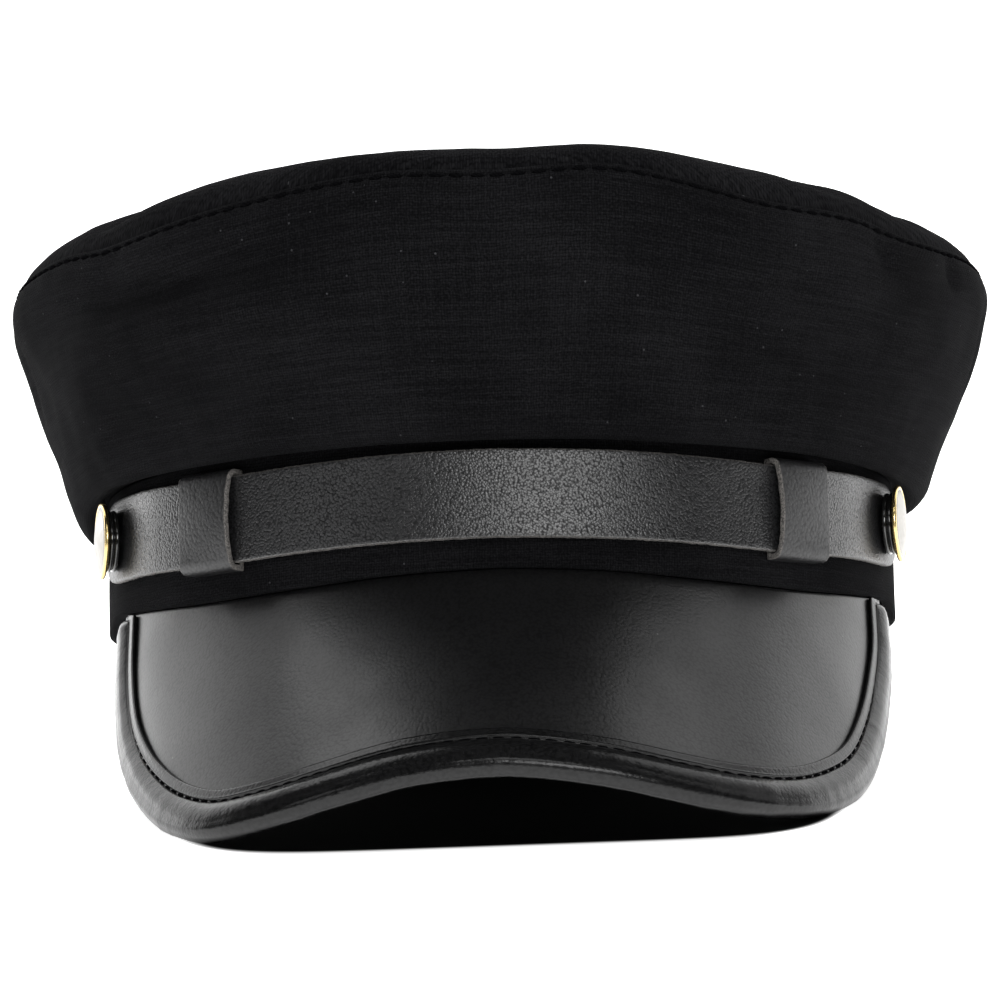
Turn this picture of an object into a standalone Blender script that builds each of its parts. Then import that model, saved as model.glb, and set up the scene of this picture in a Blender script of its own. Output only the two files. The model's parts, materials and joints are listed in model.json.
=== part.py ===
"""Breton fisherman cap: a cloth crown on a cloth band, a bound leather peak, and a strap with two keepers.

Everything is modelled in the wearer's frame, in metres: the hem of the band lies at z = 0, the peak points
to -Y and +X is the viewer's right when looking at the peak. The finished cap is then tipped back until the
corners of its peak and the back of its hem stand on one plane, as it rests on a table.
"""

import math
from typing import NamedTuple

import bmesh
import bpy
from mathutils import Matrix, Quaternion, Vector

# Band, an oval cloth ring of the hat's size, measured over its outer face
BAND_HALF_WIDTH = 0.0924
BAND_HALF_LENGTH = 0.0958
BAND_HEIGHT = 0.0320
BAND_WALL = 0.0024
HEM_LIFT = 0.0042

# Crown, a flared side wall and a soft top panel that meet at the rim seam
CLOTH_WALL = 0.0015
CROWN_RISE = 0.0527
CROWN_FLARE = 0.0250
CROWN_DROOP = 0.0100
CROWN_PUFF = 0.0078
DENT_DEPTH = 0.0026

# Peak, a leather covered board bound round its edge
PEAK_DEPTH = 0.0570
PEAK_BOARD = 0.0022
PEAK_HALF_SPAN = 69.5
PEAK_SLOPE_MIDDLE = 49.0
PEAK_SLOPE_SIDE = 66.0
PEAK_FAN = 0.10
PEAK_TUCK = 0.0009
BINDING_WALL = 0.0011
BINDING_WIDTH = 0.0085

# Strap across the front, its keepers and the buttons that hold its ends
STRAP_WIDTH = 0.0190
STRAP_WALL = 0.0015
STRAP_TOP_INSET = 0.0028
STRAP_DIP = 0.0019
STRAP_TAIL = 0.0096
KEEPER_LENGTH = 0.0158
KEEPER_WALL = 0.0013
KEEPER_GAPE = 0.0014
KEEPER_LEFT_ANGLE = -41.6
KEEPER_RIGHT_ANGLE = 43.0
BUTTON_ANGLE = 68.0
BUTTON_RADIUS = 0.00875
BUTTON_RIM = 0.0007
BUTTON_DOME = 0.0013
BUTTON_BASE_RADIUS = 0.0070
BUTTON_BASE_HEIGHT = 0.0023
POST_RADIUS = 0.0015
POST_HEAD_RADIUS = 0.0032
POST_HEAD_HEIGHT = 0.0008

# Clearances
SEAT_GAP = 0.0003
HOLE_CLEARANCE = 0.0003
REST_FLAT = 0.0005
WELD = 0.000001

# Mesh resolution
AROUND = 60
WALL_ROWS = 13
TOP_ROWS = 9
BAND_ROWS = 3
PEAK_COLUMNS = 46
PEAK_ROWS = 4
STRAP_COLUMNS = 30
STRAP_END_COLUMNS = 5
KEEPER_COLUMNS = 4
TURNED_STEPS = 28
SETTLING_ROUNDS = 12


class Station(NamedTuple):
    """The crown at one angle round from the centre front, in degrees, positive towards +X."""

    angle: float
    rise: float  # rim seam above the band, as a share of CROWN_RISE
    reach: float  # outset of the widest part, as a share of CROWN_FLARE
    droop: float  # how far the fold hangs below the band's top, as a share of CROWN_DROOP
    puff: float  # bulge of the top panel above the rim seam, as a share of CROWN_PUFF


class WallRow(NamedTuple):
    """One height of the crown's wall, from the band's top up to the rim seam."""

    rise: float  # share of the rim seam's height
    reach: float  # share of the widest outset
    droop: float  # share of the fold's droop


class TopRow(NamedTuple):
    """One ring of the top panel, from the rim seam in to the middle."""

    inset: float  # share of the way from the seam to the middle
    puff: float  # share of the top panel's bulge at that angle


class Dent(NamedTuple):
    """A soft hollow or swelling; level 0 is the band, 1 the rim seam and 2 the middle of the top."""

    angle: float
    level: float
    half_angle: float
    half_level: float
    depth: float  # share of DENT_DEPTH, positive inwards
    lean: float  # degrees round for each whole level up


class PeakRow(NamedTuple):
    """The peak's length along its slope at one share of its half span, on each side of the middle."""

    share: float
    left: float  # share of PEAK_DEPTH
    right: float  # share of PEAK_DEPTH


class HemRow(NamedTuple):
    """How far the hem is lifted at one share of the peak's half span."""

    share: float
    lift: float  # share of HEM_LIFT


class StrapRow(NamedTuple):
    """How far the strap's middle line hangs at one share of the way round to its button."""

    share: float
    dip: float  # share of STRAP_DIP


STATIONS = (
    Station(angle=-180, rise=0.800, reach=0.980, droop=0.40, puff=0.95),
    Station(angle=-150, rise=0.815, reach=0.960, droop=0.45, puff=0.95),
    Station(angle=-120, rise=0.870, reach=0.920, droop=0.62, puff=0.90),
    Station(angle=-95, rise=0.920, reach=0.890, droop=0.80, puff=0.80),
    Station(angle=-70, rise=0.908, reach=0.910, droop=0.26, puff=0.85),
    Station(angle=-56, rise=0.900, reach=0.950, droop=0.10, puff=1.10),
    Station(angle=-47, rise=0.877, reach=0.975, droop=0.10, puff=1.32),
    Station(angle=-32, rise=0.932, reach=1.010, droop=0.10, puff=1.30),
    Station(angle=-12, rise=1.006, reach=1.045, droop=0.06, puff=1.04),
    Station(angle=0, rise=0.995, reach=1.050, droop=0.06, puff=1.03),
    Station(angle=12, rise=1.022, reach=1.045, droop=0.06, puff=0.95),
    Station(angle=29, rise=0.918, reach=1.020, droop=0.12, puff=1.30),
    Station(angle=42, rise=0.906, reach=0.995, droop=0.14, puff=1.18),
    Station(angle=52, rise=0.868, reach=0.980, droop=0.24, puff=1.17),
    Station(angle=70, rise=0.900, reach=0.965, droop=0.33, puff=0.78),
    Station(angle=95, rise=0.930, reach=0.960, droop=0.44, puff=0.68),
    Station(angle=120, rise=0.880, reach=0.955, droop=0.42, puff=0.90),
    Station(angle=150, rise=0.820, reach=0.960, droop=0.42, puff=0.95),
)

WALL_PROFILE = (
    WallRow(rise=0.000, reach=-0.040, droop=0.00),
    WallRow(rise=0.000, reach=0.055, droop=0.00),
    WallRow(rise=0.000, reach=0.115, droop=0.65),
    WallRow(rise=0.000, reach=0.230, droop=1.00),
    WallRow(rise=0.025, reach=0.350, droop=0.72),
    WallRow(rise=0.080, reach=0.425, droop=0.30),
    WallRow(rise=0.180, reach=0.515, droop=0.00),
    WallRow(rise=0.340, reach=0.660, droop=0.00),
    WallRow(rise=0.520, reach=0.810, droop=0.00),
    WallRow(rise=0.700, reach=0.935, droop=0.00),
    WallRow(rise=0.840, reach=1.000, droop=0.00),
    WallRow(rise=0.940, reach=0.978, droop=0.00),
    WallRow(rise=1.000, reach=0.900, droop=0.00),
)

TOP_PROFILE = (
    TopRow(inset=0.000, puff=0.00),
    TopRow(inset=0.014, puff=0.40),
    TopRow(inset=0.045, puff=0.72),
    TopRow(inset=0.095, puff=0.92),
    TopRow(inset=0.170, puff=1.00),
    TopRow(inset=0.300, puff=0.98),
    TopRow(inset=0.480, puff=0.86),
    TopRow(inset=0.740, puff=0.68),
    TopRow(inset=1.000, puff=0.60),
)

DENTS = (
    Dent(angle=-46, level=0.74, half_angle=17, half_level=0.13, depth=0.80, lean=60),
    Dent(angle=-30, level=0.52, half_angle=13, half_level=0.16, depth=-0.55, lean=40),
    Dent(angle=-76, level=0.52, half_angle=10, half_level=0.22, depth=0.70, lean=-20),
    Dent(angle=-60, level=0.30, half_angle=9, half_level=0.20, depth=-0.50, lean=10),
    Dent(angle=44, level=0.86, half_angle=7, half_level=0.12, depth=0.80, lean=10),
    Dent(angle=60, level=0.84, half_angle=6, half_level=0.12, depth=0.75, lean=10),
    Dent(angle=36, level=0.42, half_angle=13, half_level=0.18, depth=0.60, lean=-50),
    Dent(angle=72, level=0.45, half_angle=12, half_level=0.26, depth=-0.50, lean=-20),
    Dent(angle=118, level=0.60, half_angle=15, half_level=0.28, depth=1.00, lean=25),
    Dent(angle=150, level=0.45, half_angle=12, half_level=0.30, depth=-0.70, lean=-20),
    Dent(angle=-122, level=0.55, half_angle=14, half_level=0.30, depth=1.10, lean=-20),
    Dent(angle=-158, level=0.50, half_angle=13, half_level=0.30, depth=-0.80, lean=15),
    Dent(angle=178, level=0.62, half_angle=11, half_level=0.25, depth=0.90, lean=0),
    Dent(angle=25, level=1.40, half_angle=22, half_level=0.18, depth=0.70, lean=0),
    Dent(angle=-100, level=1.35, half_angle=26, half_level=0.20, depth=0.90, lean=0),
    Dent(angle=150, level=1.38, half_angle=30, half_level=0.22, depth=1.10, lean=0),
)

PEAK_OUTLINE = (
    PeakRow(share=0.00, left=1.000, right=1.000),
    PeakRow(share=0.16, left=1.013, right=1.030),
    PeakRow(share=0.32, left=1.064, right=1.073),
    PeakRow(share=0.46, left=1.101, right=1.084),
    PeakRow(share=0.58, left=1.098, right=1.052),
    PeakRow(share=0.68, left=1.027, right=0.978),
    PeakRow(share=0.77, left=0.915, right=0.870),
    PeakRow(share=0.85, left=0.774, right=0.690),
    PeakRow(share=0.92, left=0.590, right=0.480),
    PeakRow(share=0.97, left=0.345, right=0.290),
    PeakRow(share=1.00, left=0.062, right=0.062),
)

HEM_LINE = (
    HemRow(share=0.00, lift=1.00),
    HemRow(share=0.20, lift=0.83),
    HemRow(share=0.42, lift=0.48),
    HemRow(share=0.66, lift=0.30),
    HemRow(share=0.86, lift=0.46),
    HemRow(share=1.00, lift=0.60),
    HemRow(share=1.06, lift=0.60),
    HemRow(share=1.22, lift=0.00),
)

STRAP_LINE = (
    StrapRow(share=0.00, dip=0.00),
    StrapRow(share=0.22, dip=0.22),
    StrapRow(share=0.40, dip=0.58),
    StrapRow(share=0.58, dip=0.90),
    StrapRow(share=0.78, dip=0.62),
    StrapRow(share=1.00, dip=0.20),
)


def smooth_value(places, values, at):
    """The value at a place on a smooth curve through the table's values, whose places rise."""
    last = len(places) - 1
    span = max(i for i in range(last) if places[i] <= at or i == 0)
    slopes = []
    for i in (span, span + 1):
        before, after = max(i - 1, 0), min(i + 1, last)
        slopes.append((values[after] - values[before]) / (places[after] - places[before]))
    width = places[span + 1] - places[span]
    t = min(max((at - places[span]) / width, 0.0), 1.0)
    return (
        values[span] * (1 + 2 * t) * (1 - t) ** 2
        + slopes[0] * width * t * (1 - t) ** 2
        + values[span + 1] * t * t * (3 - 2 * t)
        + slopes[1] * width * t * t * (t - 1)
    )


def crown_value(angle, column):
    """One column of STATIONS at an angle in radians, smooth all the way round."""
    turns = (-360, 0, 360)
    rows = [(s.angle + turn, getattr(s, column)) for turn in turns for s in STATIONS]
    degrees = (math.degrees(angle) + 180) % 360 - 180
    return smooth_value([r[0] for r in rows], [r[1] for r in rows], degrees)


def outward_at(angle):
    """The level direction straight out of the band at an angle round from the centre front."""
    x = BAND_HALF_LENGTH * math.sin(angle)
    y = -BAND_HALF_WIDTH * math.cos(angle)
    return Vector((x, y, 0)).normalized()


def plan_point(angle, outset, height):
    """A point at a height, outset from the band's outer face."""
    x = BAND_HALF_WIDTH * math.sin(angle)
    y = -BAND_HALF_LENGTH * math.cos(angle)
    return Vector((x, y, height)) + outward_at(angle) * outset


def hem_height(angle):
    """The band's lower edge, level at the back and lifted where the peak is sewn in under it."""
    share = abs(math.degrees(angle)) / PEAK_HALF_SPAN
    share = min(share, HEM_LINE[-1].share)
    return HEM_LIFT * smooth_value([row.share for row in HEM_LINE], [row.lift for row in HEM_LINE], share)


def dent_depth(angle, level):
    """How far the crown's surface is pushed in at a place, from all the dents together."""
    total = 0.0
    for dent in DENTS:
        centre = dent.angle + dent.lean * (level - dent.level)
        off_angle = (math.degrees(angle) - centre + 180) % 360 - 180
        off_level = level - dent.level
        fade = (off_angle / dent.half_angle) ** 2 + (off_level / dent.half_level) ** 2
        total += dent.depth * math.exp(-fade)
    return total * DENT_DEPTH


def wall_point(angle, row, dented=True):
    """A point of the crown wall's outer face on one row of its profile."""
    reach = row.reach * crown_value(angle, "reach") * CROWN_FLARE
    rise = row.rise * crown_value(angle, "rise") * CROWN_RISE
    droop = row.droop * crown_value(angle, "droop") * CROWN_DROOP
    ends_free = math.sin(math.pi * row.rise) ** 0.5 if 0 < row.rise < 1 else 0.0
    pushed = dent_depth(angle, row.rise) * ends_free if dented else 0.0
    return plan_point(angle, reach - pushed, BAND_HEIGHT + SEAT_GAP + rise - droop)


def rim_point(angle):
    """The seam between the crown's wall and its top."""
    return wall_point(angle, WALL_PROFILE[-1], dented=False)


def rim_middle():
    """The middle of the rim seam's oval."""
    quarters = [rim_point(math.radians(a)) for a in (0, 90, 180, 270)]
    return sum(quarters, Vector()) / len(quarters)


def top_point(angle, row):
    """A point of the top panel's outer face on one row of its profile."""
    seam = rim_point(angle)
    middle = rim_middle()
    ring = seam.lerp(middle, row.inset)
    ring.z = seam.z + (middle.z - seam.z) * (1 - (1 - row.inset) ** 2)
    middle_share = row.inset * row.inset
    puff = crown_value(angle, "puff") * (1 - middle_share) + middle_share
    dent = dent_depth(angle, 1 + row.inset) * math.sin(math.pi * row.inset)
    return ring + Vector((0, 0, SEAT_GAP + row.puff * puff * CROWN_PUFF - dent))


def peak_length(angle):
    """The peak's length down its slope at an angle, out to the edge of the board."""
    rows = [(-row.share, row.left) for row in reversed(PEAK_OUTLINE[1:])]
    rows += [(row.share, row.right) for row in PEAK_OUTLINE]
    share = math.degrees(angle) / PEAK_HALF_SPAN
    return smooth_value([r[0] for r in rows], [r[1] for r in rows], share) * PEAK_DEPTH


def peak_point(angle, along):
    """A point of the peak's top face, a distance along its slope from under the hem."""
    share = min(abs(math.degrees(angle)) / PEAK_HALF_SPAN, 1.0)
    slope = math.radians(PEAK_SLOPE_MIDDLE + (PEAK_SLOPE_SIDE - PEAK_SLOPE_MIDDLE) * share * share)
    heading = PEAK_FAN * angle
    level = Vector((math.sin(heading), -math.cos(heading), 0))
    down = level * math.cos(slope) - Vector((0, 0, math.sin(slope)))
    return plan_point(angle, -PEAK_TUCK, hem_height(angle) - SEAT_GAP) + down * along


def peak_normal(angle, along):
    """The upward normal of the peak's top face."""
    step = 0.001
    across = peak_point(angle + step, along) - peak_point(angle - step, along)
    down = peak_point(angle, along + step) - peak_point(angle, along - step)
    return down.cross(across).normalized()


def edge_angles():
    """Angles evenly spaced by length along the edge of the peak's board."""
    fine = 600
    half_span = math.radians(PEAK_HALF_SPAN)
    angles = [half_span * (2 * i / fine - 1) for i in range(fine + 1)]
    points = [peak_point(a, peak_length(a)) for a in angles]
    lengths = [0.0]
    for a, b in zip(points, points[1:]):
        lengths.append(lengths[-1] + (b - a).length)
    spaced = []
    for i in range(PEAK_COLUMNS + 1):
        wanted = lengths[-1] * i / PEAK_COLUMNS
        k = min(max(j for j in range(fine) if lengths[j] <= wanted), fine - 1)
        share = (wanted - lengths[k]) / (lengths[k + 1] - lengths[k])
        spaced.append(angles[k] + (angles[k + 1] - angles[k]) * share)
    return spaced


def edge_place(angle, inward, lift):
    """A point near the peak's edge: inward over the top face from the edge, then lifted off it."""
    step = 0.002
    edge = peak_length(angle)
    ahead = peak_point(angle + step, peak_length(angle + step))
    behind = peak_point(angle - step, peak_length(angle - step))
    along_edge = (ahead - behind).normalized()
    normal = peak_normal(angle, edge)
    outward = along_edge.cross(normal)
    if outward.dot(peak_point(angle, edge) - peak_point(angle, 0)) < 0:
        outward = -outward
    if inward <= 0:
        return peak_point(angle, edge) - outward * inward + normal * lift
    by_angle = (peak_point(angle + step, edge) - peak_point(angle - step, edge)) / (2 * step)
    by_length = (peak_point(angle, edge + step) - peak_point(angle, edge - step)) / (2 * step)
    wanted = -outward * inward
    a, b, c = by_angle.dot(by_angle), by_angle.dot(by_length), by_length.dot(by_length)
    p, q = by_angle.dot(wanted), by_length.dot(wanted)
    turned = (p * c - q * b) / (a * c - b * b)
    slid = (q * a - p * b) / (a * c - b * b)
    there = (angle + turned, edge + slid)
    return peak_point(*there) + peak_normal(*there) * lift


def clear_of_band(point):
    """Whether a point keeps its distance from the band."""
    angle = math.atan2(point.x / BAND_HALF_WIDTH, -point.y / BAND_HALF_LENGTH)
    outset = (point - plan_point(angle, 0, point.z)).dot(outward_at(angle))
    return outset > SEAT_GAP or point.z < hem_height(angle) - SEAT_GAP


def binding_width(angle):
    """How far the binding reaches in from the peak's edge, less near the ends, where it meets the band."""
    lifts = (SEAT_GAP + BINDING_WALL, SEAT_GAP, -PEAK_BOARD - SEAT_GAP, -PEAK_BOARD - SEAT_GAP - BINDING_WALL)
    shares = 30
    for i in range(shares, 1, -1):
        width = BINDING_WIDTH * i / shares
        if all(clear_of_band(edge_place(angle, width, lift)) for lift in lifts):
            break
    return width


def strap_centre_height(angle):
    """The height of the strap's middle line, which dips towards the buttons."""
    share = min(abs(math.degrees(angle)) / BUTTON_ANGLE, 1.0)
    dip = smooth_value([row.share for row in STRAP_LINE], [row.dip for row in STRAP_LINE], share)
    return BAND_HEIGHT - STRAP_TOP_INSET - STRAP_WIDTH / 2 - STRAP_DIP * dip


def strap_outset(angle):
    """The strap's inner face off the band: room for the keepers' backs, drawn in close at the buttons."""
    clear_of_keepers = KEEPER_WALL + 2 * SEAT_GAP
    drawn_in = SEAT_GAP
    keeper_end = max(-KEEPER_LEFT_ANGLE, KEEPER_RIGHT_ANGLE) + math.degrees(KEEPER_LENGTH / BAND_HALF_LENGTH)
    share = (abs(math.degrees(angle)) - keeper_end) / (BUTTON_ANGLE - keeper_end)
    share = min(max(share, 0.0), 1.0)
    eased = share * share * (3 - 2 * share)
    return clear_of_keepers + (drawn_in - clear_of_keepers) * eased


def strap_columns():
    """(angle, half width) along the strap, with rounded tails past the buttons."""
    half = STRAP_WIDTH / 2
    radius = BAND_HALF_LENGTH + STRAP_WALL
    body_end = math.radians(BUTTON_ANGLE)
    body = [(body_end * (2 * i / STRAP_COLUMNS - 1), half) for i in range(STRAP_COLUMNS + 1)]
    tail = []
    for i in range(1, STRAP_END_COLUMNS + 1):
        turn = math.pi / 2 * i / STRAP_END_COLUMNS
        tail.append((body_end + STRAP_TAIL * math.sin(turn) / radius, half * math.cos(turn)))
    head = [(-angle, width) for angle, width in reversed(tail)]
    return head + body + tail


def make_object(name, mesh, material, collection):
    """A new object in the cap's collection, smooth shaded, with its own material."""
    obj = bpy.data.objects.new(name, mesh)
    collection.objects.link(obj)
    mesh.materials.append(material)
    mesh.shade_smooth()
    return obj


def bent_grid(name, columns, rows, place):
    """A mesh made by bending a flat grid: place takes a column's and a row's number."""
    mesh = bpy.data.meshes.new(name)
    shape = bmesh.new()
    bmesh.ops.create_grid(shape, x_segments=columns, y_segments=rows, size=0.5)
    for vertex in shape.verts:
        column = round((vertex.co.x + 0.5) * columns)
        row = round((vertex.co.y + 0.5) * rows)
        vertex.co = place(column, row)
    bmesh.ops.remove_doubles(shape, verts=shape.verts, dist=WELD)
    shape.to_mesh(mesh)
    shape.free()
    return mesh


def thicken(obj, wall, outwards=False):
    """Gives an open surface its wall, inwards from its outer face unless told otherwise."""
    solidify = obj.modifiers.new("wall", "SOLIDIFY")
    solidify.thickness = wall
    solidify.offset = 1.0 if outwards else -1.0
    solidify.use_even_offset = True
    solidify.use_rim = True
    return obj


def swept_section(name, columns, section):
    """A solid bar: section takes a column's number and gives its outline there, and both ends are filled."""
    count = len(section(0))
    mesh = bent_grid(name, columns, count, lambda column, row: section(column)[row % count])
    shape = bmesh.new()
    shape.from_mesh(mesh)
    bmesh.ops.holes_fill(shape, edges=shape.edges, sides=0)
    bmesh.ops.triangulate(shape, faces=[f for f in shape.faces if len(f.verts) > 4])
    bmesh.ops.recalc_face_normals(shape, faces=shape.faces)
    shape.to_mesh(mesh)
    shape.free()
    return mesh


def turned_object(name, profile, material, collection):
    """A piece turned about its own Z axis; its profile of (radius, height) runs down its outer side."""
    mesh = bpy.data.meshes.new(name)
    shape = bmesh.new()
    points = [shape.verts.new((radius, 0, height)) for radius, height in profile]
    for a, b in zip(points, points[1:]):
        shape.edges.new((a, b))
    shape.to_mesh(mesh)
    shape.free()
    obj = make_object(name, mesh, material, collection)
    screw = obj.modifiers.new("turn", "SCREW")
    screw.axis = "Z"
    screw.angle = math.tau
    screw.steps = TURNED_STEPS
    screw.render_steps = TURNED_STEPS
    screw.use_merge_vertices = True
    screw.merge_threshold = WELD
    screw.use_smooth_shade = True
    return obj


def cut(obj, cutter, name):
    """Cuts one object out of another."""
    boolean = obj.modifiers.new(name, "BOOLEAN")
    boolean.operation = "DIFFERENCE"
    boolean.object = cutter
    return obj


def finish(name, colour, roughness, metallic=0.0):
    """A plain material of a colour, roughness and metallic value."""
    material = bpy.data.materials.new(name)
    material.use_nodes = True
    shader = material.node_tree.nodes["Principled BSDF"]
    shader.inputs["Base Color"].default_value = (*colour, 1.0)
    shader.inputs["Roughness"].default_value = roughness
    shader.inputs["Metallic"].default_value = metallic
    return material


def column_angle(column):
    """The angle of one of the columns that run all the way round the crown and the band."""
    return math.tau * column / AROUND - math.pi


def make_crown_wall(material, collection):
    """The flared side of the crown, from the fold that hangs over the band up to the rim seam."""

    def place(column, row):
        return wall_point(column_angle(column), WALL_PROFILE[row])

    mesh = bent_grid("crown_wall", AROUND, WALL_ROWS - 1, place)
    return thicken(make_object("crown_wall", mesh, material, collection), CLOTH_WALL)


def make_crown_top(material, collection):
    """The soft top panel, puffed above the rim seam and a little sunk in the middle."""

    def place(column, row):
        return top_point(column_angle(column), TOP_PROFILE[row])

    mesh = bent_grid("crown_top", AROUND, TOP_ROWS - 1, place)
    return thicken(make_object("crown_top", mesh, material, collection), CLOTH_WALL)


def make_band(material, collection):
    """The cloth band that goes round the head."""

    def place(column, row):
        angle = column_angle(column)
        low = hem_height(angle)
        return plan_point(angle, 0, low + (BAND_HEIGHT - low) * row / BAND_ROWS)

    mesh = bent_grid("band", AROUND, BAND_ROWS, place)
    return thicken(make_object("band", mesh, material, collection), BAND_WALL)


def make_peak(material, collection):
    """The leather covered board, tucked under the hem and sloping down to its edge."""
    angles = edge_angles()

    def place(column, row):
        angle = angles[column]
        return peak_point(angle, peak_length(angle) * (1 - row / PEAK_ROWS))

    mesh = bent_grid("peak", PEAK_COLUMNS, PEAK_ROWS, place)
    return thicken(make_object("peak", mesh, material, collection), PEAK_BOARD)


def binding_section(width):
    """The binding's outline as (inward, lift) from the board's edge, all the way round its U."""
    top, bottom = SEAT_GAP, -PEAK_BOARD - SEAT_GAP
    nose_middle = -PEAK_BOARD / 2
    nose_radius = PEAK_BOARD / 2 + SEAT_GAP + BINDING_WALL
    nose = []
    for degrees in (90, 50, 15, -15, -50, -90):
        turn = math.radians(degrees)
        nose.append((-SEAT_GAP - nose_radius * math.cos(turn), nose_middle + nose_radius * math.sin(turn)))
    upper = [(width, top + BINDING_WALL / 2), (width * 0.8, top + BINDING_WALL)]
    upper += [(width * 0.4, top + BINDING_WALL)]
    lower = [(width * 0.4, bottom - BINDING_WALL), (width * 0.8, bottom - BINDING_WALL)]
    inner = [(width * 0.8, bottom), (width * 0.4, bottom), (-SEAT_GAP, bottom)]
    inner += [(-SEAT_GAP, top), (width * 0.4, top), (width, top)]
    return upper + nose + lower + inner


def make_binding(material, collection):
    """The leather binding folded round the peak's edge."""
    angles = edge_angles()

    def section(column):
        angle = angles[column]
        outline = binding_section(binding_width(angle))
        return [edge_place(angle, inward, lift) for inward, lift in outline]

    mesh = swept_section("peak_binding", PEAK_COLUMNS, section)
    return make_object("peak_binding", mesh, material, collection)


def make_strap(material, collection):
    """The strap across the front, from button to button."""
    columns = strap_columns()
    across = 2

    def place(column, row):
        angle, half_width = columns[column]
        height = strap_centre_height(angle) + half_width * (2 * row / across - 1)
        return plan_point(angle, strap_outset(angle), height)

    mesh = bent_grid("strap", len(columns) - 1, across, place)
    return thicken(make_object("strap", mesh, material, collection), STRAP_WALL, outwards=True)


def make_keeper(name, middle_degrees, material, collection):
    """A leather loop round the strap, gaping a little at the end that faces the middle."""
    middle = math.radians(middle_degrees)
    half_angle = KEEPER_LENGTH / 2 / (BAND_HALF_LENGTH + STRAP_WALL)
    half_height = STRAP_WIDTH / 2 + SEAT_GAP
    back, front = -SEAT_GAP, STRAP_WALL + SEAT_GAP
    loop = [(back, -1.0), (back, 0.0), (back, 1.0)]
    loop += [(front, 1.0), (front, 0.6), (front, 0.2), (front, -0.2), (front, -0.6), (front, -1.0)]
    count = len(loop)

    def place(column, row):
        across = 1 - 2 * column / KEEPER_COLUMNS
        angle = middle + half_angle * across
        off_strap, height = loop[row % count]
        facing_middle = 0.5 - 0.5 * across * math.copysign(1, middle)
        gape = KEEPER_GAPE * facing_middle * (1 - height * height) if off_strap > 0 else 0.0
        outset = strap_outset(angle) + off_strap + gape
        return plan_point(angle, outset, strap_centre_height(angle) + half_height * height)

    mesh = bent_grid(name, KEEPER_COLUMNS, count, place)
    return thicken(make_object(name, mesh, material, collection), KEEPER_WALL, outwards=True)


def button_frame(side):
    """The place and turn of a button: its own Z axis runs straight out through the strap."""
    angle = math.radians(BUTTON_ANGLE) * side
    origin = plan_point(angle, strap_outset(angle) + STRAP_WALL, strap_centre_height(angle))
    return Matrix.Translation(origin) @ outward_at(angle).to_track_quat("Z", "Y").to_matrix().to_4x4()


def make_button(side, side_name, brass, black, collection):
    """A brass button cap on its black base, whose post runs in through the strap and the band."""
    frame = button_frame(side)
    foot = SEAT_GAP
    top = foot + BUTTON_BASE_HEIGHT
    inside = -(STRAP_WALL + SEAT_GAP + BAND_WALL + SEAT_GAP)
    softened = BUTTON_BASE_HEIGHT * 0.3
    base_profile = [
        (0, top),
        (BUTTON_BASE_RADIUS - softened, top),
        (BUTTON_BASE_RADIUS, top - softened),
        (BUTTON_BASE_RADIUS, foot + softened),
        (BUTTON_BASE_RADIUS - softened, foot),
        (POST_RADIUS, foot),
        (POST_RADIUS, inside),
        (POST_HEAD_RADIUS, inside),
        (POST_HEAD_RADIUS, inside - POST_HEAD_HEIGHT),
        (0, inside - POST_HEAD_HEIGHT),
    ]
    seat = top + SEAT_GAP
    cap_profile = [(0, seat + BUTTON_RIM + BUTTON_DOME)]
    for share in (0.3, 0.55, 0.78, 0.93, 1.0):
        height = seat + BUTTON_RIM + BUTTON_DOME * (1 - share * share)
        cap_profile.append((BUTTON_RADIUS * share, height))
    cap_profile += [(BUTTON_RADIUS, seat), (0, seat)]
    base = turned_object(f"button_base_{side_name}", base_profile, black, collection)
    cap = turned_object(f"button_cap_{side_name}", cap_profile, brass, collection)
    base.matrix_world = frame
    cap.matrix_world = frame
    return [base, cap]


def make_hole_cutter(side, side_name, cutters):
    """The hole that a button's post needs through the strap and the band."""
    mesh = bpy.data.meshes.new(f"post_hole_{side_name}")
    shape = bmesh.new()
    depth = 4 * (STRAP_WALL + BAND_WALL)
    radius = POST_RADIUS + HOLE_CLEARANCE
    bmesh.ops.create_cone(
        shape, cap_ends=True, segments=16, radius1=radius, radius2=radius, depth=depth
    )
    shape.to_mesh(mesh)
    shape.free()
    return make_cutter(mesh, button_frame(side), cutters)


def make_cutter(mesh, frame, cutters):
    """A helper object that cuts others and isn't part of the cap."""
    cutter = bpy.data.objects.new(mesh.name, mesh)
    cutters.objects.link(cutter)
    cutter.matrix_world = frame
    cutter.hide_render = True
    cutter.display_type = "WIRE"
    return cutter


def world_points(objects):
    """The evaluated vertices of some objects, in world space."""
    bpy.context.view_layer.update()
    graph = bpy.context.evaluated_depsgraph_get()
    points = []
    for obj in objects:
        evaluated = obj.evaluated_get(graph)
        mesh = evaluated.to_mesh()
        points += [evaluated.matrix_world @ vertex.co for vertex in mesh.vertices]
        evaluated.to_mesh_clear()
    return points


def resting_turn(left_points, right_points, back_points):
    """The turn that stands both corners of the peak and the back of the hem on one level plane."""
    turn = Quaternion()
    for _ in range(SETTLING_ROUNDS):
        groups = (left_points, right_points, back_points)
        left, right, back = (min(points, key=lambda point: (turn @ point).z) for points in groups)
        plane = (right - left).cross(back - left).normalized()
        turn = plane.rotation_difference(Vector((0, 0, 1)))
    return turn


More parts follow.
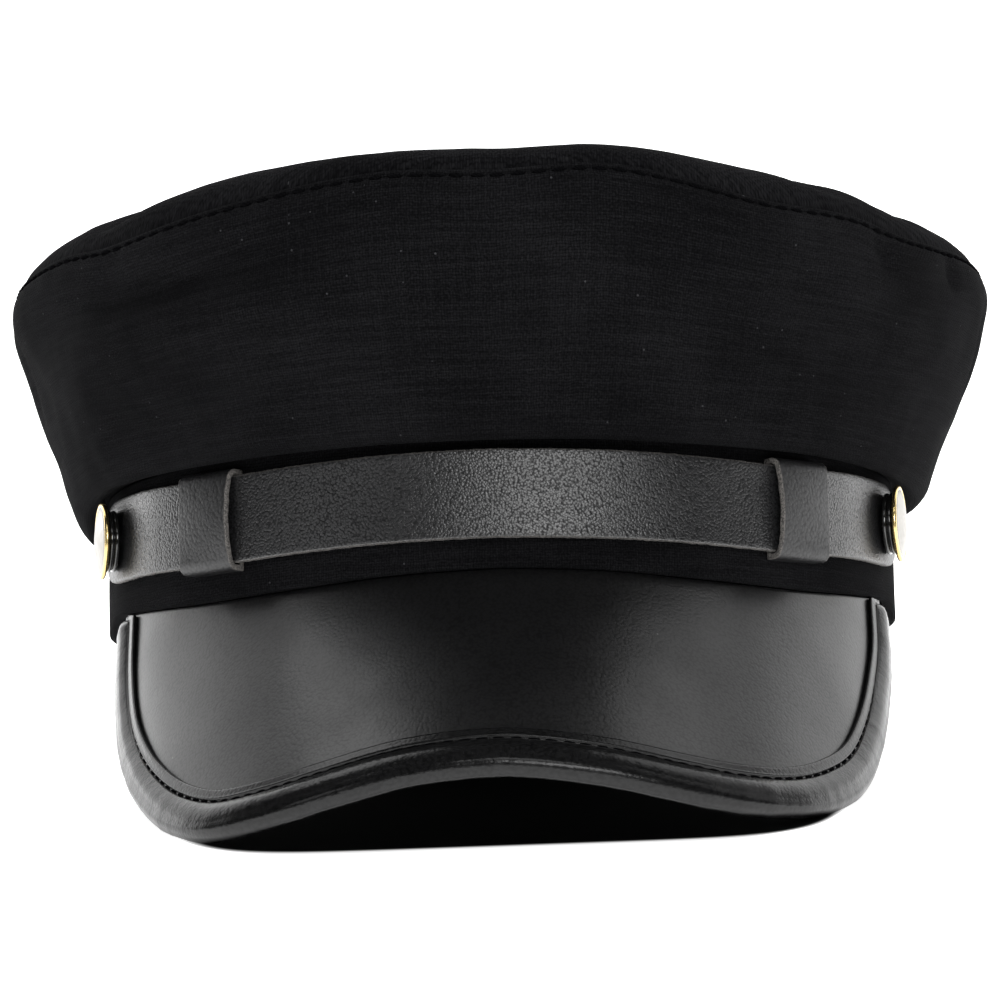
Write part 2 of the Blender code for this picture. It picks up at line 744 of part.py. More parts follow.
def stand_on_table(rest, peak_edge, band, pieces, cutters):
    """Tips the cap back, flattens what touches the table, and puts the origin under the middle of the cap."""
    edge_points = world_points([peak_edge])
    left = [point for point in edge_points if point.x < 0]
    right = [point for point in edge_points if point.x > 0]
    rest.rotation_mode = "QUATERNION"
    rest.rotation_quaternion = resting_turn(left, right, world_points([band]))
    points = world_points(pieces)
    table = min(point.z for point in points) + REST_FLAT
    middle_x = (min(p.x for p in points) + max(p.x for p in points)) / 2
    middle_y = (min(p.y for p in points) + max(p.y for p in points)) / 2
    rest.location = (-middle_x, -middle_y, -table)
    side = 4 * (BAND_HALF_LENGTH + CROWN_FLARE)
    mesh = bpy.data.meshes.new("table_cutter")
    shape = bmesh.new()
    bmesh.ops.create_cube(shape, size=side)
    shape.to_mesh(mesh)
    shape.free()
    table_cutter = make_cutter(mesh, Matrix.Translation((0, 0, -side / 2)), cutters)
    cut(peak_edge, table_cutter, "rest on table")
    cut(band, table_cutter, "rest on table")


def new_collection(name):
    """A new collection in the scene."""
    collection = bpy.data.collections.new(name)
    bpy.context.scene.collection.children.link(collection)
    return collection


def main():
    """Builds the cap."""
    for obj in list(bpy.data.objects):
        bpy.data.objects.remove(obj)
    cap = new_collection("breton_fisherman_cap")
    cutters = new_collection("cutters")
    cloth = finish("black_cotton", (0.012, 0.012, 0.014), 0.85)
    peak_leather = finish("smooth_black_leather", (0.014, 0.014, 0.015), 0.38)
    strap_leather = finish("grained_black_leather", (0.016, 0.016, 0.017), 0.45)
    brass = finish("brass", (0.78, 0.58, 0.22), 0.25, metallic=1.0)
    black = finish("black_lacquer", (0.01, 0.01, 0.01), 0.15)

    band = make_band(cloth, cap)
    strap = make_strap(strap_leather, cap)
    binding = make_binding(peak_leather, cap)
    pieces = [make_crown_wall(cloth, cap), make_crown_top(cloth, cap), band, strap, binding]
    pieces.append(make_peak(peak_leather, cap))
    pieces.append(make_keeper("keeper_left", KEEPER_LEFT_ANGLE, strap_leather, cap))
    pieces.append(make_keeper("keeper_right", KEEPER_RIGHT_ANGLE, strap_leather, cap))
    holes = []
    for side, side_name in ((-1, "left"), (1, "right")):
        pieces += make_button(side, side_name, brass, black, cap)
        hole = make_hole_cutter(side, side_name, cutters)
        cut(strap, hole, f"post hole {side_name}")
        cut(band, hole, f"post hole {side_name}")
        holes.append(hole)

    rest = bpy.data.objects.new("cap_rest", None)
    cap.objects.link(rest)
    for obj in pieces + holes:
        obj.parent = rest
    stand_on_table(rest, binding, band, pieces, cutters)


main()
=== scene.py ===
"""A breton fisherman cap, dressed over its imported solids.

The cap is shaped in the wearer's frame, with the hem of the band at z = 0 and the peak pointing to -Y,
from the same sizes and tables as its solids. Each finished mesh is then turned into the resting frame,
where the cap stands on the corners of its peak and the back of its hem. Everything is in metres.
"""

import sys

import json
import logging
import math
from dataclasses import dataclass
from enum import Enum
from typing import Callable, NamedTuple, Sequence

import bmesh
import bpy
import numpy as np
from mathutils import Matrix, Quaternion, Vector, noise

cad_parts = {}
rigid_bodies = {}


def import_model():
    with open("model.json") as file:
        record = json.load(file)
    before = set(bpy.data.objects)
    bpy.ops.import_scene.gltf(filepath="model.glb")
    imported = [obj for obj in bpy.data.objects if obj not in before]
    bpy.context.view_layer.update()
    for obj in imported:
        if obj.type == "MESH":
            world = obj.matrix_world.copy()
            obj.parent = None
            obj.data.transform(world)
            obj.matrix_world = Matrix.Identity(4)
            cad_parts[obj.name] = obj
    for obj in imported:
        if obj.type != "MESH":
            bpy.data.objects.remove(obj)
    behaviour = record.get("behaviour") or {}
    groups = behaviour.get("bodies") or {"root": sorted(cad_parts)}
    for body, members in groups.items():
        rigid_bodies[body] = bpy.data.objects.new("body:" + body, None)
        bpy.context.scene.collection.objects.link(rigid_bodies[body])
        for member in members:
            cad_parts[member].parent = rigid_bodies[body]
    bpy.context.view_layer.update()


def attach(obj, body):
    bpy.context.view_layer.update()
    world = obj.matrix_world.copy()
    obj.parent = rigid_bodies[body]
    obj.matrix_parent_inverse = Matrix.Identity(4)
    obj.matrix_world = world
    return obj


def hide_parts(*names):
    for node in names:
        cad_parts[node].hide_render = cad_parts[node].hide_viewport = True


log = logging.getLogger("cap")

BODY = "root"
LAY = "lay"
RAW_EDGE = "raw_edge"
WELD = 0.000001
MILLIMETRE = 0.001
TINY = 1e-12
CREASE_FADE = 1.4
RIPPLE_SHIFT = (17.3, 5.1, 9.7)
EDGE_SAMPLES = 2401
SOFT_EDGE_DEGREES = 55

Place = Callable[[np.ndarray, np.ndarray], tuple[np.ndarray, np.ndarray]]


class Side(Enum):
    """The two sides of the cap, as a viewer who looks at the peak sees them."""

    LEFT = -1
    RIGHT = 1


class Station(NamedTuple):
    """The crown at one angle round from the centre front, in shares of the crown's sizes."""

    angle: float
    rise: float
    reach: float
    droop: float
    puff: float


class WallRow(NamedTuple):
    """One height of the crown's wall, from the band's top up to the rim seam."""

    rise: float
    reach: float
    droop: float


class TopRow(NamedTuple):
    """One ring of the top panel, from the rim seam in to the middle."""

    inset: float
    puff: float


class Dent(NamedTuple):
    """A soft hollow, or a swelling where its depth is negative.

    Level 0 is the band, 1 the rim seam and 2 the middle of the top; lean slants it as the level rises.
    """

    angle: float
    level: float
    half_angle: float
    half_level: float
    depth: float
    lean: float


class Crease(NamedTuple):
    """A narrow fold from one place of the crown to another, with its width and depth in millimetres."""

    angle: float
    level: float
    to_angle: float
    to_level: float
    width: float
    depth: float


class PeakRow(NamedTuple):
    """The peak's length at one share of its half span, on each side of the middle."""

    share: float
    left: float
    right: float


class LineRow(NamedTuple):
    """How far a line is moved at one share of the way round."""

    share: float
    amount: float


STATIONS = (
    Station(angle=-180, rise=0.800, reach=0.980, droop=0.40, puff=0.95),
    Station(angle=-150, rise=0.815, reach=0.960, droop=0.45, puff=0.95),
    Station(angle=-120, rise=0.870, reach=0.920, droop=0.62, puff=0.90),
    Station(angle=-95, rise=0.920, reach=0.890, droop=0.80, puff=0.80),
    Station(angle=-70, rise=0.908, reach=0.910, droop=0.26, puff=0.85),
    Station(angle=-56, rise=0.900, reach=0.950, droop=0.20, puff=1.10),
    Station(angle=-47, rise=0.877, reach=0.975, droop=0.20, puff=1.32),
    Station(angle=-32, rise=0.932, reach=1.010, droop=0.20, puff=1.30),
    Station(angle=-12, rise=1.006, reach=1.045, droop=0.17, puff=1.04),
    Station(angle=0, rise=0.995, reach=1.050, droop=0.17, puff=1.03),
    Station(angle=12, rise=1.022, reach=1.045, droop=0.17, puff=0.95),
    Station(angle=29, rise=0.918, reach=1.020, droop=0.21, puff=1.30),
    Station(angle=42, rise=0.906, reach=0.995, droop=0.22, puff=1.18),
    Station(angle=52, rise=0.868, reach=0.980, droop=0.24, puff=1.17),
    Station(angle=70, rise=0.900, reach=0.965, droop=0.33, puff=0.78),
    Station(angle=95, rise=0.930, reach=0.960, droop=0.44, puff=0.68),
    Station(angle=120, rise=0.880, reach=0.955, droop=0.42, puff=0.90),
    Station(angle=150, rise=0.820, reach=0.960, droop=0.42, puff=0.95),
)

WALL_PROFILE = (
    WallRow(rise=0.000, reach=-0.040, droop=0.00),
    WallRow(rise=0.000, reach=0.055, droop=0.00),
    WallRow(rise=0.000, reach=0.115, droop=0.65),
    WallRow(rise=0.000, reach=0.230, droop=1.00),
    WallRow(rise=0.025, reach=0.350, droop=0.72),
    WallRow(rise=0.080, reach=0.425, droop=0.30),
    WallRow(rise=0.180, reach=0.515, droop=0.00),
    WallRow(rise=0.340, reach=0.660, droop=0.00),
    WallRow(rise=0.520, reach=0.810, droop=0.00),
    WallRow(rise=0.700, reach=0.935, droop=0.00),
    WallRow(rise=0.840, reach=1.000, droop=0.00),
    WallRow(rise=0.940, reach=0.978, droop=0.00),
    WallRow(rise=1.000, reach=0.900, droop=0.00),
)

TOP_PROFILE = (
    TopRow(inset=0.000, puff=0.00),
    TopRow(inset=0.014, puff=0.40),
    TopRow(inset=0.045, puff=0.72),
    TopRow(inset=0.095, puff=0.92),
    TopRow(inset=0.170, puff=1.00),
    TopRow(inset=0.300, puff=0.98),
    TopRow(inset=0.480, puff=0.86),
    TopRow(inset=0.740, puff=0.68),
    TopRow(inset=1.000, puff=0.60),
)

DENTS = (
    Dent(angle=-46, level=0.74, half_angle=17, half_level=0.13, depth=1.80, lean=60),
    Dent(angle=-30, level=0.52, half_angle=13, half_level=0.16, depth=-1.20, lean=40),
    Dent(angle=-76, level=0.52, half_angle=10, half_level=0.22, depth=0.70, lean=-20),
    Dent(angle=-60, level=0.30, half_angle=9, half_level=0.20, depth=-0.50, lean=10),
    Dent(angle=44, level=0.86, half_angle=7, half_level=0.12, depth=0.80, lean=10),
    Dent(angle=60, level=0.84, half_angle=6, half_level=0.12, depth=0.75, lean=10),
    Dent(angle=36, level=0.42, half_angle=13, half_level=0.18, depth=1.00, lean=-50),
    Dent(angle=72, level=0.45, half_angle=12, half_level=0.26, depth=-0.50, lean=-20),
    Dent(angle=118, level=0.60, half_angle=15, half_level=0.28, depth=1.00, lean=25),
    Dent(angle=150, level=0.45, half_angle=12, half_level=0.30, depth=-0.70, lean=-20),
    Dent(angle=-122, level=0.55, half_angle=14, half_level=0.30, depth=1.10, lean=-20),
    Dent(angle=-158, level=0.50, half_angle=13, half_level=0.30, depth=-0.80, lean=15),
    Dent(angle=178, level=0.62, half_angle=11, half_level=0.25, depth=0.90, lean=0),
    Dent(angle=25, level=1.40, half_angle=22, half_level=0.18, depth=0.70, lean=0),
    Dent(angle=-100, level=1.35, half_angle=26, half_level=0.20, depth=0.90, lean=0),
    Dent(angle=150, level=1.38, half_angle=30, half_level=0.22, depth=1.10, lean=0),
)

CREASES = (
    Crease(angle=34, level=1.16, to_angle=47, to_level=1.02, width=2.8, depth=-0.8),
    Crease(angle=31, level=1.14, to_angle=44, to_level=1.02, width=3.4, depth=1.92),
    Crease(angle=52, level=1.15, to_angle=63, to_level=1.02, width=2.8, depth=-0.8),
    Crease(angle=49, level=1.14, to_angle=60, to_level=1.02, width=3.2, depth=1.76),
    Crease(angle=45, level=0.97, to_angle=49, to_level=0.80, width=3.0, depth=2.4),
    Crease(angle=61, level=0.97, to_angle=64, to_level=0.80, width=3.0, depth=2.4),
    Crease(angle=-40, level=1.12, to_angle=-52, to_level=1.01, width=2.8, depth=2.08),
    Crease(angle=-44, level=0.96, to_angle=-50, to_level=0.82, width=3.0, depth=1.92),
    Crease(angle=-66, level=0.95, to_angle=-20, to_level=0.66, width=7.0, depth=2.4),
    Crease(angle=-60, level=0.70, to_angle=-36, to_level=0.58, width=6.0, depth=-2.08),
    Crease(angle=-82, level=0.90, to_angle=-84, to_level=0.35, width=5.0, depth=1.12),
    Crease(angle=78, level=0.92, to_angle=82, to_level=0.30, width=5.0, depth=1.6),
    Crease(angle=30, level=0.80, to_angle=48, to_level=0.35, width=6.0, depth=1.44),
    Crease(angle=102, level=0.90, to_angle=108, to_level=0.25, width=6.0, depth=1.44),
    Crease(angle=132, level=0.85, to_angle=124, to_level=0.30, width=6.0, depth=1.28),
    Crease(angle=165, level=0.88, to_angle=158, to_level=0.20, width=6.0, depth=1.28),
    Crease(angle=-104, level=0.92, to_angle=-112, to_level=0.25, width=6.0, depth=1.44),
    Crease(angle=-140, level=0.88, to_angle=-134, to_level=0.25, width=6.0, depth=1.28),
    Crease(angle=-170, level=0.86, to_angle=-166, to_level=0.20, width=6.0, depth=1.12),
    Crease(angle=-95, level=1.30, to_angle=-130, to_level=1.05, width=5.0, depth=1.28),
    Crease(angle=110, level=1.28, to_angle=92, to_level=1.04, width=5.0, depth=1.28),
    Crease(angle=160, level=1.35, to_angle=178, to_level=1.04, width=6.0, depth=1.28),
    Crease(angle=-10, level=1.45, to_angle=15, to_level=1.20, width=6.0, depth=0.8),
)

PEAK_OUTLINE = (
    PeakRow(share=0.00, left=1.000, right=1.000),
    PeakRow(share=0.16, left=1.013, right=1.030),
    PeakRow(share=0.32, left=1.064, right=1.073),
    PeakRow(share=0.46, left=1.101, right=1.084),
    PeakRow(share=0.58, left=1.098, right=1.052),
    PeakRow(share=0.68, left=1.027, right=0.978),
    PeakRow(share=0.77, left=0.915, right=0.870),
    PeakRow(share=0.85, left=0.774, right=0.690),
    PeakRow(share=0.92, left=0.590, right=0.480),
    PeakRow(share=0.97, left=0.345, right=0.290),
    PeakRow(share=1.00, left=0.062, right=0.062),
)

HEM_LINE = (
    LineRow(share=0.00, amount=1.00),
    LineRow(share=0.20, amount=0.83),
    LineRow(share=0.42, amount=0.48),
    LineRow(share=0.66, amount=0.30),
    LineRow(share=0.86, amount=0.46),
    LineRow(share=1.00, amount=0.60),
    LineRow(share=1.06, amount=0.60),
    LineRow(share=1.22, amount=0.00),
)

STRAP_LINE = (
    LineRow(share=0.00, amount=0.00),
    LineRow(share=0.22, amount=0.22),
    LineRow(share=0.40, amount=0.58),
    LineRow(share=0.58, amount=0.90),
    LineRow(share=0.78, amount=0.62),
    LineRow(share=1.00, amount=0.20),
)


def column_of(rows: Sequence[NamedTuple], name: str) -> np.ndarray:
    """One named column of a table, as an array."""
    return np.array([getattr(row, name) for row in rows], float)


def smooth_values(places: np.ndarray, values: np.ndarray, at: np.ndarray) -> np.ndarray:
    """Reads a smooth curve through a table's values.

    Args:
        places: The table's places, which rise.
        values: The value at each place.
        at: The places to read.

    Returns:
        The curve's value at each place that was asked for.
    """
    last = len(places) - 1
    at = np.asarray(at, float)
    span = np.clip(np.searchsorted(places, at, side="right") - 1, 0, last - 1)

    def slope(i: np.ndarray) -> np.ndarray:
        """The curve's slope at each numbered place."""
        before, after = np.maximum(i - 1, 0), np.minimum(i + 1, last)
        return (values[after] - values[before]) / (places[after] - places[before])

    width = places[span + 1] - places[span]
    t = np.clip((at - places[span]) / width, 0.0, 1.0)
    return (
        values[span] * (1 + 2 * t) * (1 - t) ** 2
        + slope(span) * width * t * (1 - t) ** 2
        + values[span + 1] * t * t * (3 - 2 * t)
        + slope(span + 1) * width * t * t * (t - 1)
    )


def along_line(line: Sequence[LineRow], share: np.ndarray) -> np.ndarray:
    """The amounts of a line's table at shares of the way."""
    return smooth_values(column_of(line, "share"), column_of(line, "amount"), share)


def running_lengths(points: np.ndarray) -> np.ndarray:
    """The length along a line of points up to each of them."""
    return np.concatenate([[0.0], np.cumsum(np.linalg.norm(np.diff(points, axis=0), axis=1))])


def unit(vectors: np.ndarray) -> np.ndarray:
    """Each vector made one long."""
    return vectors / np.maximum(np.linalg.norm(vectors, axis=-1, keepdims=True), TINY)


def ripple(points: np.ndarray, size: float, seed: float, octaves: int = 2) -> np.ndarray:
    """Smooth noise at each point, between about -1 and 1.

    Args:
        points: The points, in metres.
        size: The size of the noise's forms, in metres.
        seed: Moves the pattern, so that two uses differ.
        octaves: How many finer layers are added.

    Returns:
        One value for each point.
    """
    shift = Vector([seed * way for way in RIPPLE_SHIFT])
    return np.array([noise.fractal(Vector(p) / size + shift, 1.0, 2.0, octaves) for p in points])


@dataclass(frozen=True)
class CapForm:
    """The sizes of the cap and the surfaces that follow from them, in the wearer's frame."""

    band_half_width: float = 0.0924
    band_half_length: float = 0.0958
    band_height: float = 0.0320
    band_wall: float = 0.0024
    hem_lift: float = 0.0042
    cloth_wall: float = 0.0015
    crown_rise: float = 0.0527
    crown_flare: float = 0.0250
    crown_droop: float = 0.0100
    crown_puff: float = 0.0078
    dent: float = 0.0026
    peak_depth: float = 0.0570
    peak_board: float = 0.0022
    peak_half_span: float = 69.5
    peak_slope_middle: float = 49.0
    peak_slope_side: float = 66.0
    peak_fan: float = 0.10
    peak_tuck: float = 0.0009
    binding_wall: float = 0.0011
    binding_width: float = 0.0085
    strap_width: float = 0.0190
    strap_wall: float = 0.0015
    strap_top_inset: float = 0.0028
    strap_dip: float = 0.0019
    strap_tail: float = 0.0096
    keeper_length: float = 0.0158
    keeper_wall: float = 0.0013
    keeper_gape: float = 0.0014
    keeper_left_angle: float = -41.6
    keeper_right_angle: float = 43.0
    button_angle: float = 68.0
    seat_gap: float = 0.0003
    mean_flare: float = 0.8
    seam_margin: float = 0.03
    rest_turn: tuple[float, float, float, float] = (0.9917674661, -0.1278823167, 0.0065924902, 0.0)
    rest_place: tuple[float, float, float] = (-0.0018822402, 0.0030788630, 0.0238005370)

    def rest(self) -> Matrix:
        """The matrix from the wearer's frame to the resting frame."""
        return Matrix.Translation(self.rest_place) @ Quaternion(self.rest_turn).to_matrix().to_4x4()

    def at_rest(self, points: np.ndarray) -> np.ndarray:
        """Points of the wearer's frame, moved to the resting frame."""
        matrix = np.array(self.rest())
        return points @ matrix[:3, :3].T + matrix[:3, 3]

    def crown_value(self, angle: np.ndarray, column: str) -> np.ndarray:
        """One column of the stations at angles in radians, smooth all the way round."""
        angles, values = column_of(STATIONS, "angle"), column_of(STATIONS, column)
        places = np.concatenate([angles - 360, angles, angles + 360])
        degrees = (np.degrees(angle) + 180) % 360 - 180
        return smooth_values(places, np.tile(values, 3), degrees)

    def outward(self, angle: np.ndarray) -> np.ndarray:
        """The level directions straight out of the band."""
        flat = (self.band_half_length * np.sin(angle), -self.band_half_width * np.cos(angle), 0 * angle)
        return unit(np.stack(flat, -1))

    def plan(self, angle: np.ndarray, outset: np.ndarray, height: np.ndarray) -> np.ndarray:
        """Points at a height, outset from the band's outer face."""
        x, y = self.band_half_width * np.sin(angle), -self.band_half_length * np.cos(angle)
        outset = np.broadcast_to(outset, x.shape)[..., None]
        return np.stack([x, y, np.broadcast_to(height, x.shape)], -1) + self.outward(angle) * outset

    def hem_height(self, angle: np.ndarray) -> np.ndarray:
        """The band's lower edge, lifted where the peak is sewn in under it."""
        share = np.minimum(np.abs(np.degrees(angle)) / self.peak_half_span, HEM_LINE[-1].share)
        return self.hem_lift * along_line(HEM_LINE, share)

    def dent_depth(self, angle: np.ndarray, level: np.ndarray) -> np.ndarray:
        """How far the crown is pushed in by its dents and creases."""
        total = np.zeros(np.broadcast(angle, level).shape)
        for dent in DENTS:
            centre = dent.angle + dent.lean * (level - dent.level)
            off_angle = (np.degrees(angle) - centre + 180) % 360 - 180
            off_level = level - dent.level
            off = (off_angle / dent.half_angle) ** 2 + (off_level / dent.half_level) ** 2
            total += dent.depth * np.exp(-off)
        return total * self.dent

    def wall_radius(self) -> float:
        """About how far the crown's wall is from the cap's middle."""
        return self.band_half_length + self.crown_flare * self.mean_flare

    def crease_depth(self, angle: np.ndarray, level: np.ndarray) -> np.ndarray:
        """How far the crown is pushed in by its narrow folds, measured over the cloth."""
        round_length = math.radians(1) * self.wall_radius()
        level_length = np.where(level > 1, self.band_half_length, self.crown_rise)
        total = np.zeros(np.broadcast(angle, level).shape)
        degrees = np.degrees(angle)
        for crease in CREASES:
            middle = (crease.angle + crease.to_angle) / 2
            near = (degrees - middle + 180) % 360 - 180
            spread = self.band_half_length if crease.level > 1 else self.crown_rise
            turned = (crease.to_angle - crease.angle) * round_length
            along = np.array([turned, (crease.to_level - crease.level) * spread])
            length = math.hypot(*along)
            along /= length
            mid_level = (crease.level + crease.to_level) / 2
            u = near * round_length * np.where(level > 1, 2 - level, 1.0)
            v = (level - mid_level) * level_length
            run = (u * along[0] + v * along[1]) / (length / 2)
            off = (u * along[1] - v * along[0]) / (crease.width * MILLIMETRE)
            same_panel = (level > 1) == (crease.level > 1)
            fade = CREASE_FADE * np.abs(run) ** 3
            total += same_panel * crease.depth * MILLIMETRE * np.exp(-off * off - fade)
        return total

    def wall(self, angle: np.ndarray, row: np.ndarray, relief: np.ndarray | float = 0.0) -> np.ndarray:
        """Points of the crown wall's outer face.

        Args:
            angle: Angles round from the centre front, in radians.
            row: Places in the wall's profile, counted in its rows.
            relief: How far the cloth stands out there beyond its main form.

        Returns:
            The points.
        """
        rows = np.arange(len(WALL_PROFILE), dtype=float)
        rise_share, reach_share, droop_share = (
            smooth_values(rows, column_of(WALL_PROFILE, name), row) for name in ("rise", "reach", "droop")
        )
        rise_share = np.clip(rise_share, 0.0, 1.0)
        reach = reach_share * self.crown_value(angle, "reach") * self.crown_flare
        rise = rise_share * self.crown_value(angle, "rise") * self.crown_rise
        droop = droop_share * self.crown_value(angle, "droop") * self.crown_droop
        free = np.sqrt(np.maximum(np.sin(math.pi * rise_share), 0.0))
        pushed = (self.dent_depth(angle, rise_share) + self.crease_depth(angle, rise_share)) * free
        return self.plan(angle, reach - pushed + relief, self.band_height + self.seat_gap + rise - droop)

    def rim(self, angle: np.ndarray) -> np.ndarray:
        """The seam between the crown's wall and its top."""
        return self.wall(angle, np.full(angle.shape, len(WALL_PROFILE) - 1.0))

    def top(self, angle: np.ndarray, inset: np.ndarray) -> np.ndarray:
        """Points of the top panel's outer face, an inset share of the way in from the seam."""
        seam = self.rim(angle)
        middle = self.rim(np.radians([0.0, 90.0, 180.0, 270.0])).mean(axis=0)
        share = inset[..., None]
        ring = seam + (middle - seam) * share
        ring[..., 2] = seam[..., 2] + (middle[2] - seam[..., 2]) * (1 - (1 - inset) ** 2)
        middle_share = inset * inset
        puff = self.crown_value(angle, "puff") * (1 - middle_share) + middle_share
        row_puff = smooth_values(column_of(TOP_PROFILE, "inset"), column_of(TOP_PROFILE, "puff"), inset)
        dent = self.dent_depth(angle, 1 + inset) * np.sin(math.pi * inset)
        crease = self.crease_depth(angle, 1 + np.maximum(inset, WELD))
        crease *= np.clip(inset / self.seam_margin, 0, 1)
        ring[..., 2] += self.seat_gap + row_puff * puff * self.crown_puff - dent - crease
        return ring

    def peak_length(self, angle: np.ndarray) -> np.ndarray:
        """The peak's length down its slope, out to the edge of the board."""
        share, left, right = (column_of(PEAK_OUTLINE, name) for name in ("share", "left", "right"))
        places = np.concatenate([-share[:0:-1], share])
        values = np.concatenate([left[:0:-1], right])
        return smooth_values(places, values, np.degrees(angle) / self.peak_half_span) * self.peak_depth

    def peak(self, angle: np.ndarray, along: np.ndarray) -> np.ndarray:
        """Points of the peak's top face, a distance along its slope from under the hem."""
        share = np.minimum(np.abs(np.degrees(angle)) / self.peak_half_span, 1.0)
        steeper = (self.peak_slope_side - self.peak_slope_middle) * share**2
        slope = np.radians(self.peak_slope_middle + steeper)
        heading = self.peak_fan * angle
        level = np.cos(slope)
        down = np.stack([np.sin(heading) * level, -np.cos(heading) * level, -np.sin(slope)], -1)
        start = self.plan(angle, -self.peak_tuck, self.hem_height(angle) - self.seat_gap)
        return start + down * np.asarray(along)[..., None]

    def peak_normal(self, angle: np.ndarray, along: np.ndarray) -> np.ndarray:
        """The upward normals of the peak's top face."""
        step = 0.001
        across = self.peak(angle + step, along) - self.peak(angle - step, along)
        down = self.peak(angle, along + step) - self.peak(angle, along - step)
        return unit(np.cross(down, across))

    def edge_angles(self, count: int) -> tuple[np.ndarray, np.ndarray]:
        """Angles evenly spaced by length along the edge of the peak's board.

        Args:
            count: How many spaces there are between them.

        Returns:
            The angles, and the length along the edge up to each.
        """
        fine = np.linspace(-1, 1, EDGE_SAMPLES) * math.radians(self.peak_half_span)
        lengths = running_lengths(self.peak(fine, self.peak_length(fine)))
        wanted = np.linspace(0, lengths[-1], count + 1)
        return np.interp(wanted, lengths, fine), wanted

    def edge_place(self, angle: np.ndarray, inward: np.ndarray, lift: np.ndarray) -> np.ndarray:
        """Points near the peak's edge: inward over its top face from the edge, then lifted off it."""
        step = 0.002
        edge = self.peak_length(angle)
        ahead = self.peak(angle + step, self.peak_length(angle + step))
        behind = self.peak(angle - step, self.peak_length(angle - step))
        normal = self.peak_normal(angle, edge)
        outward = np.cross(unit(ahead - behind), normal)
        facing = np.sign(np.sum(outward * (self.peak(angle, edge) - self.peak(angle, 0 * edge)), -1))
        outward = outward * facing[..., None]
        outside = self.peak(angle, edge) - outward * inward[..., None] + normal * lift[..., None]
        by_angle = (self.peak(angle + step, edge) - self.peak(angle - step, edge)) / (2 * step)
        by_length = (self.peak(angle, edge + step) - self.peak(angle, edge - step)) / (2 * step)
        wanted = -outward * inward[..., None]
        pairs = ((by_angle, by_angle), (by_angle, by_length), (by_length, by_length))
        a, b, c = (np.sum(first * second, -1) for first, second in pairs)
        p, q = (np.sum(way * wanted, -1) for way in (by_angle, by_length))
        scale = a * c - b * b
        turned = (p * c - q * b) / scale
        slid = (q * a - p * b) / scale
        there = self.peak(angle + turned, edge + slid)
        over = there + self.peak_normal(angle + turned, edge + slid) * lift[..., None]
        return np.where((inward <= 0)[..., None], outside, over)

    def clear_of_band(self, points: np.ndarray) -> np.ndarray:
        """Whether each point keeps its distance from the band."""
        angle = np.arctan2(points[..., 0] / self.band_half_width, -points[..., 1] / self.band_half_length)
        on_band = self.plan(angle, 0.0, points[..., 2])
        outset = np.sum((points - on_band) * self.outward(angle), -1)
        return (outset > self.seat_gap) | (points[..., 2] < self.hem_height(angle) - self.seat_gap)

    def binding_reach(self, angle: np.ndarray) -> np.ndarray:
        """How far the binding reaches in from the peak's edge, less near the band at its ends."""
        steps = 30
        gap, wall = self.seat_gap, self.binding_wall
        lifts = (gap + wall, gap, -self.peak_board - gap, -self.peak_board - gap - wall)
        reach = np.full(angle.shape, self.binding_width)
        for share in range(steps, 1, -1):
            width = np.minimum(reach, self.binding_width * share / steps)
            clear = np.ones(angle.shape, bool)
            for lift in lifts:
                clear &= self.clear_of_band(self.edge_place(angle, width, np.full(angle.shape, lift)))
            settled = clear | (reach < self.binding_width * share / steps)
            reach = np.where(settled, reach, width * (share - 1) / share)
        return reach

    def strap_centre(self, angle: np.ndarray) -> np.ndarray:
        """The height of the strap's middle line, which dips towards the buttons."""
        share = np.minimum(np.abs(np.degrees(angle)) / self.button_angle, 1.0)
        dip = self.strap_dip * along_line(STRAP_LINE, share)
        return self.band_height - self.strap_top_inset - self.strap_width / 2 - dip

    def strap_outset(self, angle: np.ndarray) -> np.ndarray:
        """The strap's inner face off the band, drawn in close at the buttons."""
        clear_of_keepers = self.keeper_wall + 2 * self.seat_gap
        keeper_end = max(-self.keeper_left_angle, self.keeper_right_angle)
        keeper_end += math.degrees(self.keeper_length / self.band_half_length)
        past = np.abs(np.degrees(angle)) - keeper_end
        share = np.clip(past / (self.button_angle - keeper_end), 0.0, 1.0)
        eased = share * share * (3 - 2 * share)
        return clear_of_keepers + (self.seat_gap - clear_of_keepers) * eased


def bell(place: np.ndarray, middle: float, width: float) -> np.ndarray:
    """A smooth bump of height 1 about a middle."""
    return np.exp(-(((place - middle) / width) ** 2))


def bend_grid(
    columns: int, rows: int, place: Place, closed: bool, raw: np.ndarray | None = None
) -> bmesh.types.BMesh:
    """Bends a flat grid into a surface, with its lay over the cloth or leather as a UV map.

    Args:
        columns: Faces along the grid's first direction.
        rows: Faces along its second direction.
        place: Takes each vertex's column and row and gives its point and its lay in metres.
        closed: Whether the result encloses a volume, so that its normals can be worked out.
        raw: How raw and cut the leather is at each row of the grid, where the piece has raw edges.

    Returns:
        The shape, in the wearer's frame.
    """
    shape = bmesh.new()
    bmesh.ops.create_grid(shape, x_segments=columns, y_segments=rows, size=0.5)
    flat = np.array([vertex.co[:2] for vertex in shape.verts])
    column, row = np.rint((flat[:, 0] + 0.5) * columns), np.rint((flat[:, 1] + 0.5) * rows)
    points, lay = place(column, row)
    layer = shape.loops.layers.uv.new(LAY)
    shape.verts.index_update()
    for face in shape.faces:
        for loop in face.loops:
            loop[layer].uv = lay[loop.vert.index]
    for vertex, point in zip(shape.verts, points):
        vertex.co = point
    if raw is not None:
        mark = shape.verts.layers.float.new(RAW_EDGE)
        for vertex, at in zip(shape.verts, row.astype(int) % len(raw)):
            vertex[mark] = raw[at]
    bmesh.ops.remove_doubles(shape, verts=shape.verts, dist=WELD)
    if closed:
        bmesh.ops.recalc_face_normals(shape, faces=shape.faces)
    return shape


